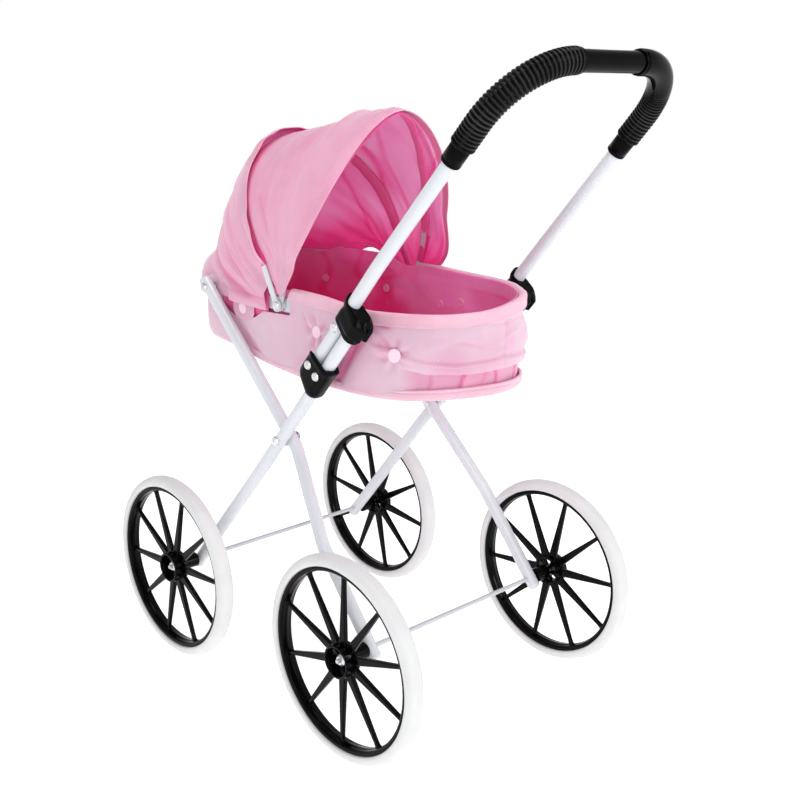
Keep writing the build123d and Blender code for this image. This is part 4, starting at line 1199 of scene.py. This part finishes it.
rowsP = []
q = P[:, -1, :2]
for f in np.linspace(0.0, 1.0, 20):
    cx = np.clip(q[:, 0], R_X, F_X)
    g = np.stack([cx + (q[:, 0] - cx) * (1 - f), q[:, 1] * (1 - f)], -1)
    zz = bottom_z(g[:, 0]) + 5.0 - 1.6 * smooth(f * 5)
    rowsP.append(np.stack([g[:, 0], g[:, 1], zz], -1))
fl_cloth = grid("basket_floor_cloth", np.stack(rowsP, 1), [M_LINER], wu=True, flip=True)
thicken(fl_cloth, 0.8, -1.0)
ride(fl_cloth, "basket", "lining_fabric")

# covered floor board
rowsP = []
xy, nn = plan(np.arange(0, PERIM, 5.0))
for ins, h in ((9.4, 0.2), (8.6, 1.0), (8.7, 2.2), (9.6, 3.0), (12.0, 3.3)):
    g = xy - nn * ins
    rowsP.append(np.stack([g[:, 0], g[:, 1], bottom_z(g[:, 0]) + 3.2 + h], -1))
edge = xy - nn * 12.0
w_bd = Waves(41)
for f in np.linspace(0.06, 1.0, 24):
    cx = np.clip(edge[:, 0], R_X, F_X)
    g = np.stack([cx + (edge[:, 0] - cx) * (1 - f), edge[:, 1] * (1 - f)], -1)
    seam = bell(np.abs(g[:, 1]) - 34, 1.6) + bell((g[:, 0] - 14) % 82 - 41, 1.6)
    rowsP.append(np.stack([g[:, 0], g[:, 1], bottom_z(g[:, 0]) + 6.6 + 0.35 * w_bd(g[:, 0] / 25, g[:, 1] / 25) - 0.7 * np.clip(seam, 0, 1)], -1))
board = grid("bed_board_cover", np.stack(rowsP, 1), [M_LINER], wu=True, flip=True)
subsurf(board, 1)
ride(board, "basket", "lining_fabric", "base_board")

# facing behind the notch, in a deeper pink than the lining as painted shade, in front of the hoop
for tag, mir in (("left", False), ("right", True)):
    ss = np.linspace(-36, 66, 40)
    s_use = mirror_s(ss) if mir else ss
    xy, nn = plan(s_use)
    zz = np.linspace(458, 407, 22)
    dd = -1.5 - 0.5 * np.sin(ss / 7.0)[:, None] - 0.6 * np.cos(zz / 6.0)[None, :] - 3.0 * smooth((428 - zz) / 14)[None, :]
    P = np.stack([xy[:, None, 0] + nn[:, None, 0] * dd, xy[:, None, 1] + nn[:, None, 1] * dd, np.broadcast_to(zz[None, :], (40, 22))], -1)
    fc_ob = grid(f"notch_facing_{tag}", P, [M_FACING], flip=mir)
    thicken(fc_ob, 0.6, -1.0)
    ride(fc_ob, "basket", "lining_fabric")


# ---------------------------------------------------------------- press studs
CAP_STUD = [(0.2, -0.6), (6.2, -0.6), (6.8, -0.2), (7.0, 0.5), (6.8, 1.2), (6.0, 1.7), (4.9, 1.95), (4.0, 1.75), (2.6, 1.7), (1.0, 1.85), (0, 1.9)]
BACK_STUD = [(0.2, -0.4), (4.6, -0.4), (5.0, 0.2), (4.8, 0.9), (3.9, 1.3), (3.1, 1.0), (1.8, 1.0), (0, 1.15)]
b = Build()
for s0, z0 in ((S_STUD1, 418.0), (S_STUD2, 411.0)):
    for s in (s0, mirror_s(s0)):
        p, n = plan(np.array([s]))
        off = float(skirt_offset(np.array([s]), np.array([z0]))[0])
        c = p[0] + n[0] * (off + 0.5)
        b.add(*lathe(CAP_STUD, (c[0], c[1], z0), (n[0][0], n[0][1], 0.05), 36))
        c = p[0] - n[0] * 9.8
        b.add(*lathe(BACK_STUD, (c[0], c[1], z0 + 6), (-n[0][0], -n[0][1], 0), 30), 1)
for x_ in (56.0, -68.0, 164.0):
    s_in = STRAIGHT + E_LEN + (x_ - R_X) if x_ < F_X else 2 * STRAIGHT + E_LEN + float(np.interp(np.arcsin((x_ - F_X) / EA), _T, _S))
    for s in (s_in, mirror_s(s_in)):
        p, n = plan(np.array([s]))
        c = p[0] - n[0] * 9.6
        b.add(*lathe(BACK_STUD, (c[0], c[1], 430.5), (-n[0][0], -n[0][1], 0), 30), 1)
st = b.make("press_stud_caps", [M_STUD, M_PLEAT], 40)
fix_normals(st)
ride(st, "basket", "stud_plastic", "press_studs")


# ----------------------------------------------------------------------- hood
def arch_points(W, L, T, n, low, m, far=None, slim=1.0):
    """Points (y, r) of an arch, left foot to right foot, evenly spaced; straight legs and a superellipse crown."""
    ph = np.linspace(0, pi, 721)
    c, s = np.cos(ph), np.sin(ph)
    y = W * np.sign(c) * np.abs(c) ** (2 / n)
    r = L + (T - L) * np.abs(s) ** (2 / n)
    leg = np.linspace(low, L, 60, endpoint=False)
    leg2 = leg if far is None else np.linspace(far, L, 60, endpoint=False)
    y = np.where(y < 0, y * slim, y)
    Y = np.concatenate([np.full(60, W), y, np.full(60, -W * slim)])
    R = np.concatenate([leg, r, leg2[::-1]])
    d = np.concatenate([[0], np.cumsum(np.hypot(np.diff(Y), np.diff(R)))])
    t = np.linspace(0, d[-1], m)
    return np.interp(t, d, Y), np.interp(t, d, R)


def polar(th, y, r):
    a = np.radians(th)
    return np.stack([HOOD_X + r * np.cos(a), y + 0 * r, HOOD_Z + r * np.sin(a)], -1)


FR_T = ([58, 62.4, 64, 66, 70, 78, 87, 96, 104, 107, 110, 113.5], [197.8, 197.6, 195.2, 192.0, 188.8, 187.6, 192.4, 200.8, 211.0, 215.2, 219.0, 221.8])
FR_W = ([58, 66, 80, 100, 113.5], [105.6, 105.4, 105.4, 107.0, 109.4])
FR_L = ([58, 66, 80, 95, 113.5], [94, 91, 75, 60, 44])
FR_N = ([58, 66, 80, 95, 113.5], [1.98, 1.94, 1.84, 1.8, 1.8])
FR_LOW = ([58, 64, 68, 72, 80, 90, 113.5], [38, 34, 28, 22, 15, 12.5, 15])
FR_B = ([58, 66, 80, 95, 113.5], [0, 0, 4, 10, 18.8])
RE_T = ([1, 4, 6.6, 8.5, 11, 14, 17, 20, 28, 38, 50, 62, 67], [224.0, 223.4, 221.6, 216.0, 205.0, 194.0, 186.0, 183.0, 187.5, 195.0, 197.6, 199.8, 194.2])
RE_W = ([1, 10, 30, 50, 67], [105.0, 105.4, 105.4, 106.4, 107.0])
RE_L = ([1, 10, 40, 67], [93, 92, 84, 90])
RE_N = ([1, 10, 30, 50, 67], [1.95, 1.88, 1.72, 1.95, 2.16])
RE_LOW = ([1, 7, 20, 40, 55, 62, 67], [18, 18, 21, 27, 32, 35, 39])
RE_B = ([1, 67], [0, 0])


FR_FAR = ([58, 68, 80, 90, 113.5], [5, 5, 7, 10, 15])
RE_FAR = ([1, 7, 20, 40, 55, 62, 67], [18, 18, 18, 14, 8, 6, 6])


def hood_sheet(ths, tabs, m, far):
    P, Yv, Rv = [], [], []
    for th in ths:
        T, W, L, n, low, bend = (float(np.interp(th, *t)) for t in tabs)
        y, r = arch_points(W, L, T, n, low, m, float(np.interp(th, *far)), float(np.interp(th, [58, 85, 113.5], [1, 1, 0.968])))
        # on the right the front edge's lower corner hangs forward of the bow's arm
        hang = 22 * float(smooth((th - 88) / 24)) * (1 - smooth((r - 45) / 60)) * (y < 0)
        P.append(polar(th + bend * (1 - r / T) + hang, y, r))
        Yv.append(y)
        Rv.append(r)
    return np.array(P), np.array(Yv), np.array(Rv)


def sheet_normals(P):
    du = np.gradient(P, axis=0)
    dv = np.gradient(P, axis=1)
    n = np.cross(du, dv)
    n /= np.linalg.norm(n, axis=2)[..., None] + 1e-12
    c = P - np.array([HOOD_X, 0, HOOD_Z])
    flip = np.sum(n * c, axis=2) < 0
    n[flip] *= -1
    return n


# front section, from the middle bow to the rolled front edge
m = 170
th_f = np.concatenate([np.linspace(59.5, 107.9, 48), np.array([108.4, 108.8, 109.2, 109.7, 110.2, 110.9, 111.6, 112.2, 112.7])])
P, Yv, Rv = hood_sheet(th_f, (FR_T, FR_W, FR_L, FR_N, FR_LOW, FR_B), m, FR_FAR)
nrm = sheet_normals(P)
TH = np.repeat(th_f[:, None], m, 1)
U = np.repeat(np.linspace(-1, 1, m)[None, :], len(th_f), 0)
wf, wf2, wf3 = Waves(51), Waves(52), Waves(53)
mid = smooth((TH - 62) / 7) * smooth((109 - TH) / 4)
wf4, wf5 = Waves(54), Waves(55)
rum = 1 - np.abs(wf4(TH / 7.0 + 2.2 * U, U * 5.0 + 0.6))
rum2 = 1 - np.abs(wf5(TH / 4.2 - 3.0 * U, U * 8.0))
disp = mid * (1.2 * wf(TH / 4.4 + 1.3 * U, U * 2.4) + 0.5 * wf2(TH / 2.0 + 2 * U, U * 4.0) + 0.22 * wf3(TH / 0.9, U * 14)
              + 2.3 * (rum - 0.4) + 1.2 * (rum2 - 0.4))
# stretch lines beside the hem and long shallow folds between the bows
for t0, k, a, w in ((105.0, 0.8, 0.7, 0.9), (101.5, 1.4, -0.9, 1.4), (97.0, -1.6, 0.8, 1.4), (91.0, 2.4, -1.0, 1.8), (84.0, -2.0, 0.9, 2.0), (75.0, 2.0, -1.2, 2.4)):
    disp = disp + a * bell(TH - t0 - k * U - 1.0 * np.sin(3 * U), w) * (0.4 + 0.6 * np.cos(1.4 * U) ** 2)
# creases that fan out from the lower corners
for sd in (-1, 1):
    for k, (u0, slope, a) in enumerate(((0.80, 14, 1.5), (0.70, 22, -1.3), (0.88, 8, -1.2))):
        line = (sd * U - u0) * 60 - (TH - 72 - 6 * k) * slope * 0.06
        disp = disp + a * bell(line, 1.6) * smooth((TH - 66) / 6) * smooth((98 - TH) / 16) * smooth((sd * U - 0.45) / 0.2)
# the lower corners tuck in behind the middle bow's arm
low_in = (1 - smooth((Rv - 46) / 26)) * (np.abs(Yv) > 88)
tuck = low_in * np.interp(TH, [58, 66, 80, 90, 104, 113], [3.4, 3.4, 3.6, 4.0, 4.6, 5.4])
P = P + nrm * disp[..., None] * (1 - 0.7 * low_in)[..., None]
P[..., 1] -= np.sign(Yv) * tuck
# hem band: doubled cloth, with a stitched groove behind it
hem_on = smooth((TH - 108.5) / 0.5)
P = P + nrm * (0.9 * hem_on - 0.9 * bell(TH - 108.4, 0.35))[..., None]


def hood_slots(lo):
    return lambda I, J: np.where(TH[I, J] >= lo, 2, 0)


front_cover = grid("hood_front_cover", P, [M_PINK, M_DEEP, M_PINK, M_PLEAT], flip=False, slots=hood_slots(108.55))
# painted shade on the outer face: deep pink under the rear section's free edge and in the valleys of the folds
painted_light(front_cover, 0.95 * (1 - smooth((TH - 65.2) / 3.0)) + 0.26 * smooth(-disp / 2.2) * (1 - smooth((TH - 106) / 2)))
# painted shade on the inner face: deeper lower down, in the hollows, near the hem band and along the rumples, spread in
# cloudy patches
cloud = Waves(56)(P[..., 0] / 22.0 + P[..., 1] / 40.0, P[..., 2] / 30.0 + P[..., 1] / 26.0)
painted_light(front_cover, 0.08 + 0.86 * smooth((540 - P[..., 2]) / 84) + 0.26 * smooth(disp / 1.9) + 0.24 * smooth(cloud - 0.3) + 0.3 * bell(TH - 106.5, 1.6)
     + 0.34 * smooth((rum - 0.80) / 0.18), "painted_shade")
subsurf(front_cover, 1)
thicken(front_cover, 0.9, -1.0, 1, 0)
FRONT_P, FRONT_TH = P.copy(), th_f.copy()

# rear section, from its free front edge down round the end of the body
th_r = np.concatenate([np.linspace(1.4, 4.2, 5), np.linspace(5.0, 61.5, 54), np.array([62.6, 63.6, 64.4, 65.2, 65.8, 66.2])])
P, Yv, Rv = hood_sheet(th_r, (RE_T, RE_W, RE_L, RE_N, RE_LOW, RE_B), m, RE_FAR)
nrm = sheet_normals(P)
TH = np.repeat(th_r[:, None], m, 1)
U = np.repeat(np.linspace(-1, 1, m)[None, :], len(th_r), 0)
wr, wr2, wr3 = Waves(61), Waves(62), Waves(63)
body_on = smooth((TH - 6) / 8)
ridge = 1 - np.abs(wr2(TH / 6.5 + 3 * U, U * 4.0))
ridge2 = 1 - np.abs(wr3(TH / 4.0 - 2.5 * U, U * 7.0 + 1.0))
disp = body_on * (1.5 * wr(TH / 8.0 + 2 * U, U * 4.0) + 2.0 * (ridge - 0.4) * smooth((58 - TH) / 10) + 1.3 * (ridge2 - 0.4) * smooth((58 - TH) / 10)
                  + 0.3 * wr3(TH / 1.6, U * 15))
# slack creases low on the sides, running in towards the tabs
cr = np.zeros_like(disp)
for u0, t0, k, a in ((-0.62, 17, 60, -2.8), (-0.55, 24, 46, 2.0), (-0.70, 10, 70, 1.4), (0.62, 17, -60, -2.8), (0.56, 25, -46, 2.0), (0.0, 30, 0, 1.2),
                     (-0.34, 20, 30, 1.6), (0.30, 22, -34, -1.6)):
    cr = cr + a * bell(TH - t0 - k * (U - u0) * 0.35, 2.6) * bell(U - u0, 0.2)
# pulled creases from the tabs up the sides, sharp on one side
for u0, t0, k, a, w in ((-0.80, 22, 95, 1.7, 1.5), (-0.72, 31, 70, -1.8, 1.7), (-0.60, 40, 52, 1.5, 1.6), (-0.46, 33, 40, -1.4, 1.5), (-0.86, 38, 60, -1.3, 1.4),
                        (0.78, 24, -90, 1.7, 1.5), (0.68, 34, -66, -1.7, 1.6), (0.50, 40, -44, 1.4, 1.6), (-0.20, 44, 18, 1.1, 1.5), (0.16, 40, -16, -1.2, 1.6)):
    line = TH - t0 - k * (U - u0) * 0.3 - 1.2 * np.sin(9 * U + t0)
    cr = cr + a * (bell(line, w) - 0.55 * bell(line - 1.9 * w, 1.6 * w)) * bell(U - u0, 0.17)
for t0, a in ((58.5, -0.9), (53.0, 0.8), (47.0, -0.7)):
    cr = cr + a * bell(TH - t0 - 2.4 * np.sin(2.6 * U), 1.5)
disp = disp + cr
# the free edge gapes away from the front section in places
GAPE_U = np.array([-1.0, -0.92, -0.82, -0.70, -0.55, -0.42, -0.32, -0.22, -0.12, -0.02, 0.12, 0.3, 0.5, 0.7, 0.85, 1.0])
GAPE_D = np.array([2.2, 5.6, 6.8, 3.6, 1.2, 2.0, 6.2, 8.4, 4.4, 0.4, 0.4, 3.0, 1.4, 3.0, 4.6, 2.0])
gape = np.interp(U, GAPE_U, GAPE_D) + 0.9 * np.sin(25 * U + 1.0) * np.sin(7 * U) + 0.4 * np.sin(57 * U)
disp = disp + smooth((TH - 55) / 11) * (gape - 0.6)
disp = disp + smooth((TH - 51) / 6) * np.maximum(0, 1.2 - disp) + 1.0 * smooth((10 - TH) / 6) + 1.4 * smooth((15 - TH) / 6) * smooth((U - 0.05) / 0.2)
low_r = (1 - smooth((Rv - 40) / 24)) * (np.abs(Yv) > 88)
P = P + nrm * disp[..., None] * (1 - 0.8 * low_r)[..., None]
# beside the arms the cloth lies on their inner side
P[..., 1] -= np.sign(Yv) * low_r * smooth((TH - 34) / 14) * 4.6
# lower edge: lapped over the rim at the sides and the end; on the right it rides up above the rim
z_low = np.interp(P[..., 0], [40, 90, 135, 180, 235], [430.5, 431.5, 434.5, 440.0, 444.5])
z_low = np.where(Yv < 0, z_low + 40.6 * bell(P[..., 0] - 101, 48.0), z_low)
z_ref = HOOD_Z + Rv * np.sin(np.radians(1.4))
reach = np.clip(1 - (P[..., 2] - z_ref) / 46.0, 0, 1)
P[..., 2] += (z_low - z_ref) * reach ** 1.3
# seam of the hem along the lower edge
zs = P[..., 2] - z_low
P = P + nrm * (-0.8 * bell(zs - 12.5, 1.5) + 0.5 * bell(zs - 6.5, 4.5))[..., None] * (Rv > 30)[..., None]
# the cloth passes inside the leg's end on each side
dx, dz = P[..., 0] - 149, P[..., 2] - 447
push = 7.5 * np.exp(-(dx / 22) ** 2 - (dz / 17) ** 2)
P[..., 1] -= np.sign(P[..., 1]) * push * (np.abs(P[..., 1]) > 60)
# and close to the body where the leg rises when the frame folds
lim = 98.9 + 9 * smooth((P[..., 2] - 444) / 16) + 9 * smooth((119 - P[..., 0]) / 16) + 9 * smooth((P[..., 0] - 158) / 16)
over = np.abs(P[..., 1]) - lim
P[..., 1] -= np.sign(P[..., 1]) * np.where(np.abs(P[..., 1]) > 90, np.maximum(over, 0), 0)
ZS = zs
rear_cover = grid("hood_rear_cover", P, [M_PINK, M_DEEP, M_PINK, M_DEEP], flip=False,
                  slots=lambda I, J: np.where((TH[I, J] >= 63.4) | (ZS[I, J] < 12.0), 2, 0))
# painted shade on the outer face: in the valleys of the creases and hollows, and along the hem's seam
painted_light(rear_cover, 0.3 * smooth(-cr / 1.6) + 0.2 * smooth(-(disp - gape * smooth((TH - 55) / 11)) / 2.2) + 0.3 * bell(zs - 12.5, 1.4))
# painted shade on the inner face: deeper lower down, in the hollows, along the ridges and under the free edge, spread
# in cloudy patches
cloud = Waves(64)(P[..., 0] / 24.0 + P[..., 1] / 30.0, P[..., 2] / 26.0 - P[..., 1] / 34.0)
painted_light(rear_cover, 0.16 + 0.8 * smooth((536 - P[..., 2]) / 70) + 0.26 * smooth(disp / 1.9) + 0.26 * smooth(cloud - 0.2) + 0.7 * smooth((TH - 61.5) / 2)
     + 0.36 * smooth((ridge - 0.80) / 0.18), "painted_shade")
subsurf(rear_cover, 1)
thicken(rear_cover, 0.9, -1.0, 1, 0)
REAR_P, REAR_TH = P.copy(), th_r.copy()


def fan(ob):
    """Bake the cloth's transform into its mesh."""
    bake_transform(ob)


fan(front_cover)
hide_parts("hood_front_panel", "hood_mid_panel")
fan(rear_cover)
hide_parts("hood_rear_panel")


# sleeves of lining cloth that carry the two bows
def sleeve(name, th, W, L, top, n, low, body, wide=15.0, high=2.2):
    Y, R = arch_points(W, L, top, n, low, 700)
    d = np.concatenate([[0], np.cumsum(np.hypot(np.diff(Y), np.diff(R)))])
    t = np.arange(0, d[-1], 2.5)
    y, r = np.interp(t, d, Y), np.interp(t, d, R)
    ty, tr = np.gradient(y), np.gradient(r)
    g = np.hypot(ty, tr)
    ny, nr = -tr / g, ty / g
    flip = ny * y + nr * (r - 40) < 0
    ny[flip] *= -1
    nr[flip] *= -1
    wv = Waves(71)
    c, s = cos(radians(th)), sin(radians(th))
    tang = np.array([-s, 0, c])
    P = []
    for a in np.linspace(0, 2 * pi, 16, endpoint=False):
        wob = 1 + 0.10 * wv(t / 8.0, a) + 0.05 * wv(t / 3.5, a + 2)
        u = wide / 2 * np.sign(np.cos(a)) * abs(np.cos(a)) ** 0.7 * wob * (0.72 + 0.28 * smooth((r - low) / 22))
        v = high * np.sin(a) * wob * (0.5 + 0.5 * smooth((r - low) / 45))
        yy, rr = y + ny * v, r + nr * v
        base = polar(th, yy, rr)
        P.append(base + tang[None, :] * np.reshape(u, (-1, 1)))
    ob = grid(name, np.stack(P, 1), [M_SLEEVE], wv=True)
    # painted shade: the sleeve is deeper pink at its edges and lower down
    edge = np.abs(np.cos(np.linspace(0, 2 * pi, 16, endpoint=False)))
    height = np.stack([p_[:, 2] for p_ in P], 1)
    painted_light(ob, 0.55 * smooth((edge - 0.8) / 0.2)[None, :] + 0.75 * smooth((545 - height) / 90) + 0.1, "painted_shade")
    fix_normals(ob)
    subsurf(ob, 1)
    ride(ob, body, "lining_fabric")
    return ob


sleeve("front_bow_sleeve", 110.0, 99.7, 30.0, 216.8, 1.55, 66, "hood_front")
sleeve("middle_bow_sleeve", 62.0, 103.8, 90.0, 194.8, 1.9, 46, "hood_mid")

# stitch rows on the hood
k = int(np.argmin(np.abs(FRONT_TH - 109.2)))
fn = sheet_normals(FRONT_P)
st = stitches("hood_hem_stitches", FRONT_P[k][2:-2] + fn[k][2:-2] * 0.3, fn[k][2:-2], M_THREAD, "hood_front")
ride(st, "hood_front", "pink_fabric")

# tabs that button the hood's sides to the body
b = Build()
for tag, side in (("left", 1), ("right", -1)):
    nz, nw = 26, 21
    P = np.zeros((nz, nw, 3))
    # the right one is pulled up to the cover's raised edge
    head = 446 if side > 0 else 470
    for i, e in enumerate(np.linspace(0, 1, nz)):
        zr = head - (head - 411.4) * e
        f = min(max((446 - zr) / 34.6, 0), 1)
        half = 19.0 + 0.8 * f
        if zr < 424.5:
            half = 19.6 * max(1 - ((424.5 - zr) / 13.3) ** 2.4, 0.001) ** (1 / 2.4)
        for j, g in enumerate(np.linspace(-1, 1, nw)):
            rise = float(smooth((zr - 446) / 24))
            x = 89.5 + half * g + 1.0 * f - (12.5 * (g + 1) * float(smooth((zr - 438) / 30)) if side < 0 else 0)
            z = zr - 4.0 * (1 - g) * rise
            # close to the body, so that the leg clears it, and dimpled at the stud
            y = 98.2 - 1.3 * bell(np.hypot(x - 93.0, z - 424.8), 9.0) + 0.16 * sin(7 * g + 3 * f) + 0.1 * sin(13 * g - 5 * f)
            y += 0.4 * float(smooth((zr - 444) / 18))
            P[i, j] = (x, side * y, z)
    tb = grid(f"hood_tab_{tag}", P, [M_PINK, M_PINK], flip=side < 0)
    subsurf(tb, 1)
    thicken(tb, 1.0, 0.0, 1, 0)
    ride(tb, "basket", "pink_fabric")
    b.add(*lathe(CAP_STUD, (93.0, side * 97.0, 424.8), (0, side, 0), 36))
st = b.make("hood_tab_studs", [M_STUD], 40)
fix_normals(st)
ride(st, "basket", "stud_plastic")
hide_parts("hood_tabs")

# ------------------------------------------------------------- stage and light
bpy.ops.mesh.primitive_plane_add(size=14, location=(0, 0, -0.0002))
floor = bpy.context.object
floor.name = "floor"
ff = Mat("floor_paper")
ob_c = ff.coords()
paper = ff.noise(ob_c, 6.0, 3.0)
ff.set(Roughness=0.9, Specular_IOR_Level=0.1, Emission_Color=(1, 1, 1, 1), Emission_Strength=0.5)
floor.data.materials.append(ff.done(ff.ramp(paper, [(0.3, (0.965, 0.965, 0.965, 1)), (0.7, (0.98, 0.98, 0.98, 1))]), None,
                                    ff.bump(ff.noise(ob_c, 500.0, 2.0), 0.04, 0.0005)))
floor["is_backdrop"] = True

world = bpy.data.worlds.new("studio")
bpy.context.scene.world = world
world.use_nodes = True
wt = world.node_tree
bg = wt.nodes["Background"]
tc = wt.nodes.new("ShaderNodeTexCoord")
sep = wt.nodes.new("ShaderNodeSeparateXYZ")
wt.links.new(tc.outputs["Generated"], sep.inputs["Vector"])
sky = wt.nodes.new("ShaderNodeValToRGB")
el = sky.color_ramp.elements
el[0].position, el[0].color = 0.10, (1.0, 1.0, 1.0, 1)
el[1].position, el[1].color = 0.55, (0.45, 0.45, 0.46, 1)
wt.links.new(sep.outputs["Z"], sky.inputs["Fac"])
wt.links.new(sky.outputs["Color"], bg.inputs["Color"])
bg.inputs["Strength"].default_value = 1.0


def area(name, loc, target, size, power):
    li = bpy.data.lights.new(name, "AREA")
    li.shape = "RECTANGLE"
    li.size, li.size_y = size
    li.energy = power
    ob = bpy.data.objects.new(name, li)
    bpy.context.scene.collection.objects.link(ob)
    ob.location = loc
    ob.rotation_euler = (Vector(target) - Vector(loc)).to_track_quat("-Z", "Y").to_euler()
    return ob


area("key", (-1.7, 1.5, 1.5), (0, 0, 0.38), (1.1, 1.2), 14.5)
area("fill", (-1.9, -0.9, 1.2), (0, 0, 0.38), (0.15, 1.2), 9.5)
area("top", (-0.3, 0.1, 2.3), (-0.05, 0, 0.4), (0.7, 0.7), 13)

cam = bpy.data.cameras.new("camera")
cam.lens = 51.03
cam.sensor_width = 36.0
cam.sensor_fit = "HORIZONTAL"
cam.clip_start = 0.02
co = bpy.data.objects.new("camera", cam)
bpy.context.scene.collection.objects.link(co)
eye, aim = Vector((-0.90435, 0.8312, 0.6734)), Vector((-0.02765, 0.0, 0.3315))
fwd = (aim - eye).normalized()
right = fwd.cross(Vector((0, 0, 1))).normalized()
up = right.cross(fwd)
roll = radians(0.55)
r2 = right * cos(roll) + up * sin(roll)
u2 = up * cos(roll) - right * sin(roll)
rot = Matrix((r2, u2, -fwd)).transposed()
co.matrix_world = Matrix.Translation(eye) @ rot.to_4x4()
bpy.context.scene.camera = co

vs = bpy.context.scene.view_settings
vs.view_transform = "Standard"
vs.look = "None"
vs.exposure = 0.0

low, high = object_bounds()
